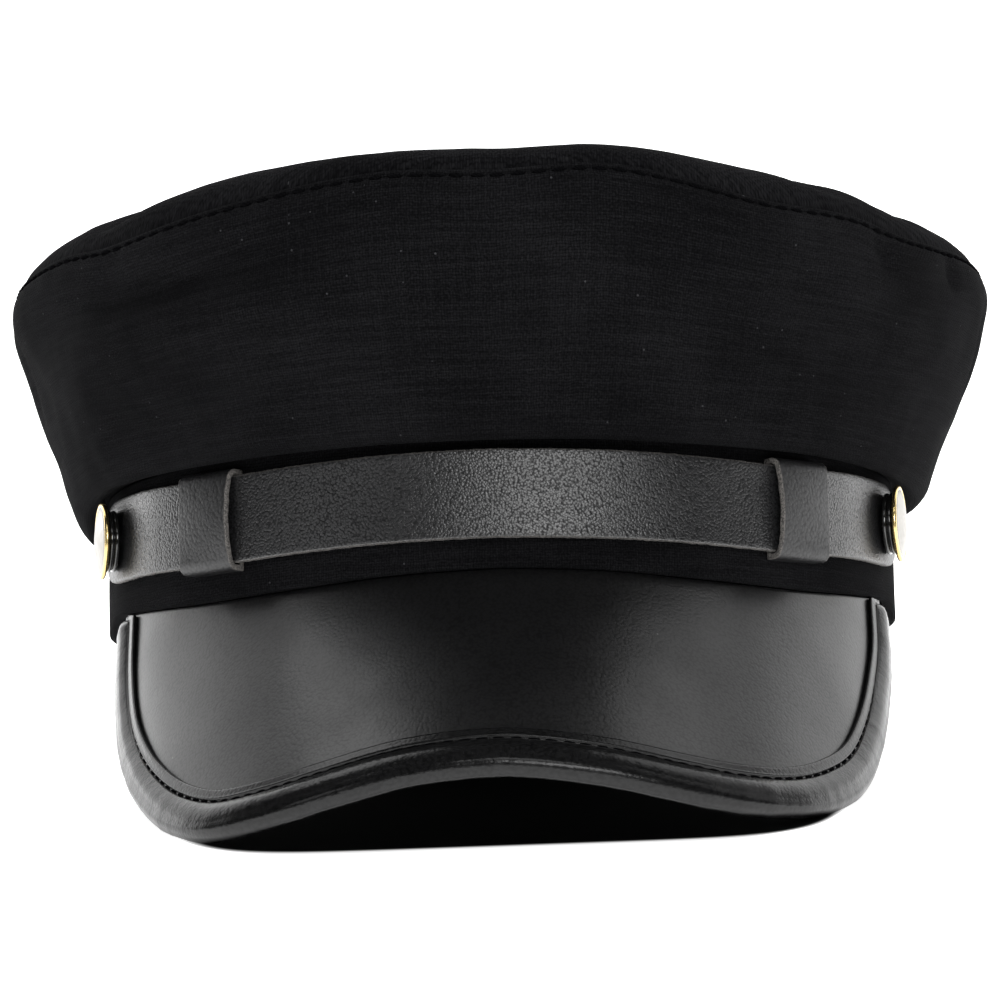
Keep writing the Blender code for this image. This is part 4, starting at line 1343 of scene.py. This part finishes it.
@dataclass(frozen=True)
class Band:
    """The cloth band that goes round the head."""

    form: CapForm
    columns: int = 480
    face_rows: int = 26
    edge_radius: float = 0.0009
    wave: float = 0.00022
    wave_size: float = 0.020
    outer_depth: float = 0.0001

    def make(self, finishes: Finishes) -> bpy.types.Object:
        """The band as one closed ring with rounded folds at its top and its hem."""
        radius = self.edge_radius
        wall = self.form.band_wall
        arc = np.linspace(0, math.pi / 2, 5)
        corner = radius * np.sin(arc), radius * (1 - np.cos(arc))
        up = np.linspace(0, 1, self.face_rows + 1)
        # Each row is a share of the height, then offsets from that height and from the outer face
        rows = [(share, 0.0, 0.0) for share in up]
        rows[0], rows[-1] = (0.0, radius, 0.0), (1.0, -radius, 0.0)
        rows += [(1.0, s - radius, c) for s, c in zip(corner[0][1:], corner[1][1:])]
        rows += [(1.0, -c, wall - radius + s) for s, c in zip(corner[0], corner[1])]
        rows += [(share, 0.0, wall) for share in np.linspace(0.9, 0.1, 8)]
        rows += [(0.0, radius - s, wall - c) for s, c in zip(corner[0], corner[1])]
        rows += [(0.0, c, radius - s) for s, c in zip(corner[0], corner[1])]
        table = np.array(rows)
        count = len(table)

        def place(column: np.ndarray, row: np.ndarray) -> tuple[np.ndarray, np.ndarray]:
            """The point and lay of each vertex of the ring."""
            angle = math.tau * column / self.columns - math.pi
            share, rise, depth = table[row.astype(int) % count].T
            low = self.form.hem_height(angle)
            height = low + (self.form.band_height - low) * share + rise
            points = self.form.plan(angle, -depth, height)
            out = ripple(points, self.wave_size, seed=8.0, octaves=3) * self.wave
            out = out * (depth < self.outer_depth)
            around = angle * self.form.band_half_length
            return self.form.plan(angle, -depth + out, height), np.stack([around, height - depth], -1)

        shape = bend_grid(self.columns, count, place, closed=True)
        obj = finish_piece("band_cloth", shape, self.form, finishes.cotton)
        return place_piece(obj, "cloth", "band")


@dataclass(frozen=True)
class Peak:
    """The leather-covered board and the binding sewn round its edge."""

    form: CapForm
    columns: int = 300
    rows: int = 64
    binding_columns: int = 520
    flange: float = 0.0028
    groove: float = 0.00070
    groove_width: float = 0.00040
    roll: float = 0.00060
    roll_turn: float = 0.85
    roll_swell: float = 0.2
    wrinkle: float = 0.00007
    wrinkle_sizes: tuple[float, float] = (0.0042, 0.013)
    wrinkle_stretch: float = 0.22
    least_squeeze: float = 0.2
    squeezed_lift: float = 0.35
    edge: float = 0.0003
    slow_wave: tuple[float, float] = (0.045, 0.00016)
    quick_wave: tuple[float, float] = (0.014, 0.00003)
    stitch_lift: float = 0.0002

    def make_board(self, finishes: Finishes) -> bpy.types.Object:
        """The board's smooth leather face and its underside."""
        angles, _ = self.form.edge_angles(self.columns)

        def place(column: np.ndarray, row: np.ndarray) -> tuple[np.ndarray, np.ndarray]:
            """The point and lay of each vertex."""
            angle = angles[column.astype(int)]
            along = self.form.peak_length(angle) * (1 - row / self.rows)
            points = self.form.peak(angle, along)
            (slow_size, slow), (quick_size, quick) = self.slow_wave, self.quick_wave
            uneven = ripple(points, slow_size, seed=10.0, octaves=2) * slow
            uneven = uneven + ripple(points, quick_size, seed=11.0, octaves=2) * quick
            points += self.form.peak_normal(angle, np.maximum(along, 0.002)) * uneven[:, None]
            return points, points[:, :2]

        shape = bend_grid(self.columns, self.rows, place, closed=False)
        obj = finish_piece("peak_leather", shape, self.form, finishes.peak_leather)
        give_wall(obj, self.form.peak_board, -1.0, self.edge)
        return place_piece(obj, "peak_leather", "peak")

    def section(self) -> np.ndarray:
        """The binding's outline from its inner top edge out round the nose and back inside.

        Returns:
            Rows of (share of the reach, fixed inward part, lift). The first two make the inward distance.
        """
        gap, wall, board = self.form.seat_gap, self.form.binding_wall, self.form.peak_board
        top, bottom = gap, -board - gap
        outline = [(1.0, 0.0, top + wall * 0.30), (1.0, -0.00018, top + wall * 0.62)]
        beside = 0.0007
        for inward in np.linspace(0.0005, self.flange - beside, 5):
            outline.append((1.0, -inward, top + wall * 0.70))
        body = top + wall * 0.80
        for off in np.linspace(-0.0006, 0.0006, 9):
            dip = self.groove * bell(off, 0.0, self.groove_width)
            outline.append((1.0, -self.flange - off, body - dip))
        swell_from = self.flange + beside
        for share in np.linspace(0.06, 1.0, 10):
            bulge = self.roll * math.sin(math.pi * min(share * self.roll_turn, 1.0))
            bulge += wall * self.roll_swell * min(share * 3, 1.0)
            outline.append((1.0 - share, -swell_from * (1 - share), body + bulge))
        nose = board / 2 + gap + wall
        start = outline[-1][2] + board / 2
        for degrees in np.linspace(80, -90, 16):
            turn = math.radians(degrees)
            radius = nose + (start - nose) * max(math.sin(turn), 0.0) ** 2
            outline.append((0.0, -gap - nose * math.cos(turn), -board / 2 + radius * math.sin(turn)))
        for share in (0.15, 0.35, 0.6, 0.8, 0.96):
            outline.append((share, 0.0, bottom - wall * (0.9 if share < 0.9 else 0.6)))
        for share in (0.98, 0.7, 0.4, 0.1):
            outline.append((share, 0.0, bottom))
        outline += [(0.0, -gap, bottom), (0.0, -gap, (top + bottom) / 2), (0.0, -gap, top)]
        for share in (0.1, 0.4, 0.7, 0.98):
            outline.append((share, 0.0, top))
        return np.array(outline)

    def make_binding(self, finishes: Finishes) -> bpy.types.Object:
        """The binding, rolled and wrinkled round the edge."""
        angles, lengths = self.form.edge_angles(self.binding_columns)
        reach = self.form.binding_reach(angles)
        table = self.section()
        count = len(table)

        def place(column: np.ndarray, row: np.ndarray) -> tuple[np.ndarray, np.ndarray]:
            """The point and lay of each vertex."""
            index = column.astype(int)
            share, inward, lift = table[row.astype(int) % count].T
            squeezed = np.clip(reach[index] / self.form.binding_width, self.least_squeeze, 1.0)
            inward = share * reach[index] + inward * np.where(share > 0, squeezed, 1.0)
            seat = self.form.seat_gap
            kept = self.squeezed_lift + (1 - self.squeezed_lift) * squeezed
            lift = np.where(lift > seat, seat + (lift - seat) * kept, lift)
            angle = angles[index]
            points = self.form.edge_place(angle, inward, lift)
            along = lengths[index]
            outer = np.clip((lift - seat - 0.0002) / 0.0006, 0, 1) + (inward < -0.0008)
            hidden_rows = 16
            outer = np.clip(outer, 0, 1) * (row.astype(int) % count < count - hidden_rows)
            streak = np.stack([along, inward * self.wrinkle_stretch, lift * self.wrinkle_stretch], -1)
            small, large = self.wrinkle_sizes
            wrinkle = ripple(streak, small, seed=12.0, octaves=3)
            wrinkle = (wrinkle + ripple(streak, large, seed=13.0, octaves=2)) * self.wrinkle
            middle = self.form.edge_place(angle, 0 * inward + 0.001, 0 * lift - self.form.peak_board / 2)
            away = unit(points - middle)
            on_flange = (inward > reach[index] - self.flange * 1.3).astype(float)
            points = points + away * (wrinkle * outer * (1 - 0.6 * on_flange))[:, None]
            return points, np.stack([along, inward - lift], -1)

        shape = bend_grid(self.binding_columns, count, place, closed=False)
        close_ends(shape)
        obj = finish_piece("peak_binding_leather", shape, self.form, finishes.binding_leather)
        return place_piece(obj, "peak_leather", "peak_binding")

    def make_stitches(self, finishes: Finishes) -> bpy.types.Object:
        """The stitches that hold the binding."""
        angles, _ = self.form.edge_angles(900)
        angles = angles[30:-30]
        reach = self.form.binding_reach(angles)
        squeezed = np.clip(reach / self.form.binding_width, self.least_squeeze, 1.0)
        inward = reach - self.flange * squeezed
        bottom = self.form.seat_gap + self.form.binding_wall * 0.8 - self.groove
        lift = np.full(angles.shape, bottom + self.stitch_lift)
        line = self.form.edge_place(angles, inward, lift)
        normals = self.form.peak_normal(angles, self.form.peak_length(angles))
        thread = Thread(length=0.0025, pitch=0.0035, width=0.00050)
        obj = thread.sew(line, normals, "binding_stitches", self.form, finishes.thread)
        return place_piece(obj, "peak_leather")


@dataclass(frozen=True)
class Strap:
    """The leather strap across the front, from button to button."""

    form: CapForm
    body_columns: int = 380
    end_columns: int = 16
    face_rows: int = 30
    corner: float = 0.00042
    rough: float = 0.00012
    tail_reach: float = 1.15
    tail_squareness: float = 0.55
    rough_size: float = 0.0016
    wave: float = 0.00012
    wave_size: float = 0.03
    soften: float = 0.001

    def section(self) -> np.ndarray:
        """The strap's outline from its lower front edge round its top and back.

        Returns:
            Rows of (share of the half width, fixed part of it, depth off the inner face, raw edge).
        """
        wall, corner = self.form.strap_wall, self.corner
        rows = [(share, -corner * share, wall, 0.0) for share in np.linspace(-1, 1, self.face_rows)]
        for degrees in (30, 60):
            turn = math.radians(degrees)
            rows.append((1.0, corner * (math.sin(turn) - 1), wall - corner * (1 - math.cos(turn)), 0.5))
        cut = (wall - corner, wall * 0.5, corner * 0.5)
        rows += [(1.0, 0.0, depth, 1.0) for depth in cut]
        rows += [(share, -0.0003 * share, 0.0, 0.0) for share in np.linspace(1, -1, 10)]
        rows += [(-1.0, 0.0, depth, 1.0) for depth in reversed(cut)]
        for degrees in (60, 30):
            turn = math.radians(degrees)
            rows.append((-1.0, corner * (1 - math.sin(turn)), wall - corner * (1 - math.cos(turn)), 0.5))
        return np.array(rows)

    def make(self, finishes: Finishes) -> bpy.types.Object:
        """The strap with rounded tails and raw cut edges."""
        form = self.form
        end = math.radians(form.button_angle)
        radius = form.band_half_length + form.strap_wall
        half = form.strap_width / 2
        body = np.linspace(-end, end, self.body_columns + 1)
        turn = np.linspace(0, math.pi / 2, self.end_columns + 1)[1:]
        tail = end + form.strap_tail * self.tail_reach * np.sin(turn) / radius
        angles = np.concatenate([-tail[::-1], body, tail])
        tail_half = half * np.cos(turn) ** self.tail_squareness
        halves = np.concatenate([tail_half[::-1], np.full(body.shape, half), tail_half])
        table = self.section()
        count = len(table)

        def place(column: np.ndarray, row: np.ndarray) -> tuple[np.ndarray, np.ndarray]:
            """The point and lay of each vertex."""
            index = column.astype(int)
            share, part, depth, raw = table[row.astype(int) % count].T
            angle = angles[index]
            room = np.clip(halves[index] / self.soften, 0.0, 1.0)
            across = share * halves[index] + part * room
            around = angle * radius
            edges = np.stack([around, share * 0.01, 0 * share], -1)
            ragged = ripple(edges, self.rough_size, seed=14.0, octaves=3) * self.rough * raw
            height = form.strap_centre(angle) + across + ragged * np.sign(share)
            faces = np.stack([around, across, 0 * across], -1)
            slow = ripple(faces, self.wave_size, seed=15.0, octaves=2) * self.wave * (depth > self.soften)
            points = form.plan(angle, form.strap_outset(angle) + depth + slow, height)
            return points, np.stack([around, across], -1)

        shape = bend_grid(len(angles) - 1, count, place, closed=False, raw=table[:, 3])
        close_ends(shape)
        obj = finish_piece("strap_leather_band", shape, form, finishes.strap_leather)
        return place_piece(obj, "strap_leather", "strap")


@dataclass(frozen=True)
class Keeper:
    """A leather loop round the strap, gaping a little at the end that faces the middle."""

    form: CapForm
    side: Side
    columns: int = 40
    corner: float = 0.0009
    back_corner: float = 0.35
    rough: float = 0.00022
    rough_size: float = 0.0022
    rough_share: float = 0.1
    edge: float = 0.00022

    def outline(self) -> np.ndarray:
        """The loop's inner outline: rows of (depth off the strap's inner face, height from its middle)."""
        form, corner = self.form, self.corner
        back, front = -form.seat_gap, form.strap_wall + form.seat_gap
        half = form.strap_width / 2 + form.seat_gap
        rows = [(back, y) for y in np.linspace(-half, half, 14)]
        turning = back + (front - back) * self.back_corner
        rows += [(turning, half), (front - corner, half)]
        for degrees in (30, 60):
            turn = math.radians(degrees)
            rows.append((front - corner * (1 - math.sin(turn)), half - corner * (1 - math.cos(turn))))
        rows += [(front, y) for y in np.linspace(half - corner, corner - half, 32)]
        for degrees in (60, 30):
            turn = math.radians(degrees)
            rows.append((front - corner * (1 - math.sin(turn)), corner * (1 - math.cos(turn)) - half))
        rows += [(front - corner, -half), (turning, -half)]
        return np.array(rows)

    def make(self, finishes: Finishes) -> bpy.types.Object:
        """The loop with its wall and its rough ends."""
        form = self.form
        left = self.side is Side.LEFT
        middle = math.radians(form.keeper_left_angle if left else form.keeper_right_angle)
        half_angle = form.keeper_length / 2 / (form.band_half_length + form.strap_wall)
        table = self.outline()
        count = len(table)
        half = form.strap_width / 2

        def place(column: np.ndarray, row: np.ndarray) -> tuple[np.ndarray, np.ndarray]:
            """The point and lay of each vertex."""
            across = 1 - 2 * column / self.columns
            depth, height = table[row.astype(int) % count].T
            end = np.clip((np.abs(across) - 1 + self.rough_share) / self.rough_share, 0, 1)
            edges = np.stack([height, depth, across * 0.01], -1)
            ragged = ripple(edges, self.rough_size, seed=16.0 + self.side.value, octaves=3)
            angle = middle + half_angle * (across + ragged * end * self.rough / form.keeper_length * 2)
            facing = 0.5 - 0.5 * across * self.side.value
            bowed = np.clip(1 - (height / half) ** 2, 0, 1)
            gape = np.where(depth > form.strap_wall, form.keeper_gape * facing * bowed, 0.0)
            outset = form.strap_outset(angle) + depth + gape
            points = form.plan(angle, outset, form.strap_centre(angle) + height)
            return points, np.stack([angle * form.band_half_length, height + depth], -1)

        shape = bend_grid(self.columns, count, place, closed=False)
        mark = shape.verts.layers.float.new(RAW_EDGE)
        for vertex in shape.verts:
            vertex[mark] = 1.0 if vertex.is_boundary else 0.0
        name = f"keeper_{self.side.name.lower()}"
        obj = finish_piece(f"{name}_leather", shape, form, finishes.keeper_leather)
        give_wall(obj, form.keeper_wall, 1.0, self.edge)
        return place_piece(obj, "strap_leather", name)


@dataclass(frozen=True)
class Button:
    """A domed brass button on a ringed black base, whose post runs in through the strap and the band."""

    form: CapForm
    side: Side
    radius: float = 0.00875
    rim: float = 0.0007
    dome: float = 0.0013
    dome_share: float = 0.84
    face_share: float = 0.87
    seat_share: float = 0.80
    bead: float = 0.00052
    bead_stretch: float = 1.05
    sharp_degrees: float = 50.0
    base_radius: float = 0.0070
    base_height: float = 0.0023
    post_radius: float = 0.0015
    head_radius: float = 0.0032
    head_height: float = 0.0008
    steps: int = 96
    lean: float = 7.0

    def frame(self) -> Matrix:
        """The button's own frame, whose Z axis runs out through the strap, pulled round a little by it."""
        angle = np.array(math.radians(self.form.button_angle) * self.side.value)
        outset = self.form.strap_outset(angle) + self.form.strap_wall
        origin = Vector(self.form.plan(angle, outset, self.form.strap_centre(angle)))
        turn = Vector(self.form.outward(angle)).to_track_quat("Z", "Y")
        lean = Matrix.Rotation(math.radians(self.lean) * self.side.value, 4, "Z")
        return Matrix.Translation(origin) @ lean @ turn.to_matrix().to_4x4()

    def turned(
        self, name: str, profile: Sequence[tuple[float, float]], material: bpy.types.Material
    ) -> bpy.types.Object:
        """Turns a profile of (radius, height), which runs down its outer side, about the button's axis."""
        shape = bmesh.new()
        points = [shape.verts.new((radius, 0, height)) for radius, height in profile]
        edges = [shape.edges.new(pair) for pair in zip(points, points[1:])]
        bmesh.ops.spin(
            shape,
            geom=points + edges,
            cent=(0, 0, 0),
            axis=(0, 0, 1),
            angle=math.tau,
            steps=self.steps,
            use_merge=True,
        )
        bmesh.ops.remove_doubles(shape, verts=shape.verts, dist=WELD)
        bmesh.ops.recalc_face_normals(shape, faces=shape.faces)
        bmesh.ops.transform(shape, matrix=self.frame(), verts=shape.verts)
        obj = finish_piece(name, shape, self.form, material)
        obj.data.set_sharp_from_angle(angle=math.radians(self.sharp_degrees))
        return obj

    def make_cap(self, finishes: Finishes) -> bpy.types.Object:
        """The brass cap: a shallow dome inside a rolled rim."""
        seat = self.form.seat_gap * 2 + self.base_height
        face = seat + self.rim + self.dome
        profile = [(0.0, face)]
        for share in np.linspace(0.06, self.dome_share, 18):
            profile.append((self.radius * share, face - self.dome * share * share))
        edge = face - self.dome * self.dome_share * self.dome_share
        profile += [(self.radius * 0.860, edge - 0.00016), (self.radius * 0.880, edge - 0.00014)]
        bead = self.bead
        centre = (self.radius - bead, seat + bead)
        for degrees in range(115, -91, -15):
            turn = math.radians(degrees)
            rise = bead * self.bead_stretch * math.sin(turn)
            profile.append((centre[0] + bead * math.cos(turn), centre[1] + rise))
        profile += [(self.radius * self.seat_share, seat), (0.0, seat)]
        name = f"button_cap_{self.side.name.lower()}"
        obj = self.turned(f"{name}_brass", profile, finishes.brass)
        # The face inside the rim takes the paler copy of the brass, a painted reflection of white glare.
        obj.data.materials.append(finishes.brass_painted_glare)
        out_of_frame = self.frame().inverted() @ self.form.rest().inverted()
        for face in obj.data.polygons:
            centre = out_of_frame @ face.center
            inside_rim = math.hypot(centre.x, centre.y) < self.radius * self.face_share
            if centre.z > seat + self.rim * 0.5 and inside_rim:
                face.material_index = 1
        return place_piece(obj, "brass", name)

    def make_base(self, finishes: Finishes) -> bpy.types.Object:
        """The black base with its two rings, and its post and inner head."""
        form = self.form
        foot = form.seat_gap
        top = foot + self.base_height
        inside = -(form.strap_wall + 2 * form.seat_gap + form.band_wall)
        profile = [(0.0, top), (self.base_radius * self.seat_share, top)]
        ring = self.base_height / 4
        for level in (top - ring, foot + ring):
            for degrees in range(80, -81, -20):
                turn = math.radians(degrees)
                reach = self.base_radius - ring + ring * math.cos(turn)
                profile.append((reach, level + ring * math.sin(turn)))
        profile += [
            (self.base_radius - ring, foot),
            (self.post_radius, foot),
            (self.post_radius, inside),
            (self.head_radius * 0.9, inside),
            (self.head_radius, inside - self.head_height * 0.3),
            (self.head_radius, inside - self.head_height * 0.7),
            (self.head_radius * 0.85, inside - self.head_height),
            (0.0, inside - self.head_height),
        ]
        name = f"button_base_{self.side.name.lower()}"
        obj = self.turned(f"{name}_black", profile, finishes.lacquer)
        return place_piece(obj, "black_lacquer", name)


class Lit(Enum):
    """What a light falls on."""

    ALL = "all"
    CAP = "cap"
    FLOOR = "floor"


@dataclass(frozen=True)
class Lamp:
    """A soft square light that faces the cap."""

    name: str
    azimuth: float
    elevation: float
    distance: float
    width: float
    height: float
    power: float
    glossy: bool = True
    lights: Lit = Lit.ALL
    target_height: float = 0.06

    def make(self, floor: bpy.types.Object) -> None:
        """Adds the light; azimuth 0 is in front of the peak and grows towards the viewer's right."""
        data = bpy.data.lights.new(self.name, "AREA")
        data.shape, data.size, data.size_y = "RECTANGLE", self.width, self.height
        data.energy = self.power
        azimuth, elevation = math.radians(self.azimuth), math.radians(self.elevation)
        level = math.cos(elevation) * self.distance
        target = Vector((0.0, 0.0, self.target_height))
        rise = math.sin(elevation) * self.distance
        place = target + Vector((math.sin(azimuth) * level, -math.cos(azimuth) * level, rise))
        obj = bpy.data.objects.new(self.name, data)
        obj.location = place
        obj.rotation_euler = (target - place).to_track_quat("-Z", "Y").to_euler()
        obj.visible_glossy = self.glossy
        if self.lights is not Lit.ALL:
            lit = bpy.data.collections.new(f"lit_by_{self.name}")
            for piece in bpy.context.scene.objects:
                if piece.type == "MESH" and (piece is floor) == (self.lights is Lit.FLOOR):
                    lit.objects.link(piece)
            obj.light_linking.receiver_collection = lit
        bpy.context.scene.collection.objects.link(obj)


@dataclass(frozen=True)
class Studio:
    """A pale floor that curves up into a backdrop, soft lights, and the camera."""

    form: CapForm
    tilt: float = 8.0
    roll: float = 1.3
    distance: float = 0.9
    aim_height: float = 0.032
    focal_pixels: float = 3789.0
    frame_pixels: float = 1000.0
    sensor: float = 36.0
    floor_tone: Colour = (0.90, 0.90, 0.90)
    # The shade_* fields size the painted shade patch on the floor under the cap.
    shade_tone: float = 0.02
    shade_squareness: float = 6.0
    shade_width: float = 0.85
    shade_setback: float = 0.008
    floor_glow: float = 1.0
    surround: float = 0.025
    floor_width: float = 9.0
    floor_length: float = 6.0
    floor_front: float = -2.0
    floor_rows: int = 40
    bend_start: float = 3.2
    bend_radius: float = 0.8
    shade_fade: tuple[float, float] = (0.86, 1.02)
    lamps: tuple[Lamp, ...] = (
        Lamp("left_softbox", -130, 31, 1.15, 0.90, 1.50, 2.6, lights=Lit.CAP),
        Lamp("left_high_softbox", -125, 57, 1.15, 0.75, 0.50, 2.6, lights=Lit.CAP),
        Lamp("left_strip", -126, 2, 1.15, 0.75, 0.16, 0.5, lights=Lit.CAP),
        Lamp("right_softbox", 112, 31, 1.15, 1.05, 1.50, 2.9, lights=Lit.CAP),
        Lamp("right_high_softbox", 120, 53, 1.15, 0.75, 0.50, 1.3, lights=Lit.CAP),
        Lamp("right_strip", 112, 2, 1.15, 0.90, 0.16, 0.5, lights=Lit.CAP),
        Lamp("front_softbox", 14, 22, 1.25, 0.58, 0.30, 5.0, lights=Lit.CAP),
        Lamp("front_left_softbox", -50, 18, 1.25, 0.40, 0.30, 0.5, lights=Lit.CAP),
        Lamp("front_high_softbox", 4, 48, 1.25, 0.55, 0.30, 1.6, lights=Lit.CAP),
        Lamp("top_softbox", 0, 88, 1.40, 1.1, 0.9, 18.0, glossy=False),
        Lamp("floor_softbox", 0, 89, 1.60, 0.7, 0.7, 16.0, glossy=False, lights=Lit.FLOOR),
    )

    def make_floor(self) -> bpy.types.Object:
        """The floor and backdrop, one sheet bent from a grid, with painted shade under the cap."""
        columns = 4

        def place(column: np.ndarray, row: np.ndarray) -> tuple[np.ndarray, np.ndarray]:
            """The point of each vertex, flat in front and rising behind."""
            x = (column / columns - 0.5) * self.floor_width
            run = row / self.floor_rows * self.floor_length
            radius, start = self.bend_radius, self.bend_start
            turn = np.clip((run - start) / radius, 0, math.pi / 2)
            y = self.floor_front + np.minimum(run, start) + radius * np.sin(turn)
            z = radius * (1 - np.cos(turn)) + np.maximum(run - start - radius * math.pi / 2, 0.0)
            return np.stack([x, y, z], -1), np.stack([x, run], -1)

        shape = bend_grid(columns, self.floor_rows, place, closed=False)
        mesh = bpy.data.meshes.new("studio_floor")
        shape.to_mesh(mesh)
        shape.free()
        mesh.shade_smooth()
        material, tree, shader = new_material("pale_floor")
        shader.inputs["Roughness"].default_value = 0.9
        shader.inputs["Specular IOR Level"].default_value = 0.1
        open_share = self.open_floor(tree, tree.add("ShaderNodeTexCoord").outputs["Object"])
        shade = (self.shade_tone,) * 3
        black, white = (0.0,) * 3, (1.0,) * 3
        # Painted shade: under the cap the floor takes a dark colour and no glow, standing in for the cap's
        # shadow.
        tree.link(mixed(tree, open_share, shade, self.floor_tone), shader.inputs["Base Color"])
        tree.link(mixed(tree, open_share, black, white), shader.inputs["Emission Color"])
        shader.inputs["Emission Strength"].default_value = self.floor_glow
        mesh.materials.append(material)
        floor = bpy.data.objects.new("studio_floor", mesh)
        bpy.context.scene.collection.objects.link(floor)
        return floor

    def open_floor(self, tree: NodeTree, place: bpy.types.NodeSocket) -> bpy.types.NodeSocket:
        """1 on the open floor, falling to 0 in the deep shade straight under the cap, which is painted
        into the floor's colour and glow.
        """
        angles, _ = self.form.edge_angles(200)
        edge = self.form.at_rest(self.form.peak(angles, self.form.peak_length(angles)))
        back = self.form.at_rest(self.form.plan(np.array([math.pi]), 0.0, 0.0))[0]
        front = edge[:, 1].min() + self.shade_setback
        left, right = edge[:, 0].min(), edge[:, 0].max()
        middle = ((right + left) / 2, (front + back[1]) / 2)
        half = ((right - left) / 2 * self.shade_width, (back[1] - front) / 2)
        parts = tree.add("ShaderNodeSeparateXYZ", {0: place})
        powers = []
        for axis in (0, 1):
            off = tree.math("SUBTRACT", parts.outputs[axis], float(middle[axis]))
            off = tree.math("DIVIDE", off, float(half[axis]))
            powers.append(tree.math("POWER", tree.math("ABSOLUTE", off), self.shade_squareness))
        return tree.span(tree.math("ADD", *powers), *self.shade_fade)

    def make_camera(self) -> None:
        """The camera at the photograph's angle to the cap."""
        tilt, roll = math.radians(self.tilt), math.radians(self.roll)
        view = Vector((0, math.cos(tilt), math.sin(tilt)))
        up = Vector((0, -math.sin(tilt), math.cos(tilt)))
        right = Vector((1, 0, 0))
        image_right = right * math.cos(roll) - up * math.sin(roll)
        image_up = right * math.sin(roll) + up * math.cos(roll)
        turn = Matrix((image_right, image_up, -view)).transposed().to_4x4()
        place = Vector((0, 0, self.aim_height)) - view * self.distance
        data = bpy.data.cameras.new("camera")
        data.sensor_width = self.sensor
        data.lens = self.focal_pixels / self.frame_pixels * self.sensor
        data.clip_end = 20.0
        camera = bpy.data.objects.new("camera", data)
        camera.matrix_world = self.form.rest() @ Matrix.Translation(place) @ turn
        bpy.context.scene.collection.objects.link(camera)
        bpy.context.scene.camera = camera

    def make(self) -> None:
        """Sets the floor, the lights, the even surrounding light and the camera."""
        floor = self.make_floor()
        for lamp in self.lamps:
            lamp.make(floor)
        world = bpy.data.worlds.new("studio")
        world.use_nodes = True
        world.node_tree.nodes["Background"].inputs["Color"].default_value = (1.0, 1.0, 1.0, 1.0)
        world.node_tree.nodes["Background"].inputs["Strength"].default_value = self.surround
        bpy.context.scene.world = world
        bpy.context.scene.view_settings.view_transform = "Standard"
        self.make_camera()
        log.info("studio: %d lights, floor and camera", len(self.lamps))


def main() -> None:
    """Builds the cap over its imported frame, then the studio."""
    logging.basicConfig(level=logging.INFO, format="%(name)s: %(message)s", stream=sys.stdout)
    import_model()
    form = CapForm()
    finishes = Finishes.built()
    crown = Crown(form)
    crown.make_wall(finishes)
    crown.make_top(finishes)
    crown.make_stitches(finishes)
    Band(form).make(finishes)
    peak = Peak(form)
    peak.make_board(finishes)
    peak.make_binding(finishes)
    peak.make_stitches(finishes)
    Strap(form).make(finishes)
    for side in Side:
        Keeper(form, side).make(finishes)
        button = Button(form, side)
        button.make_base(finishes)
        button.make_cap(finishes)
    Studio(form).make()


if __name__ == "__main__":
    main()
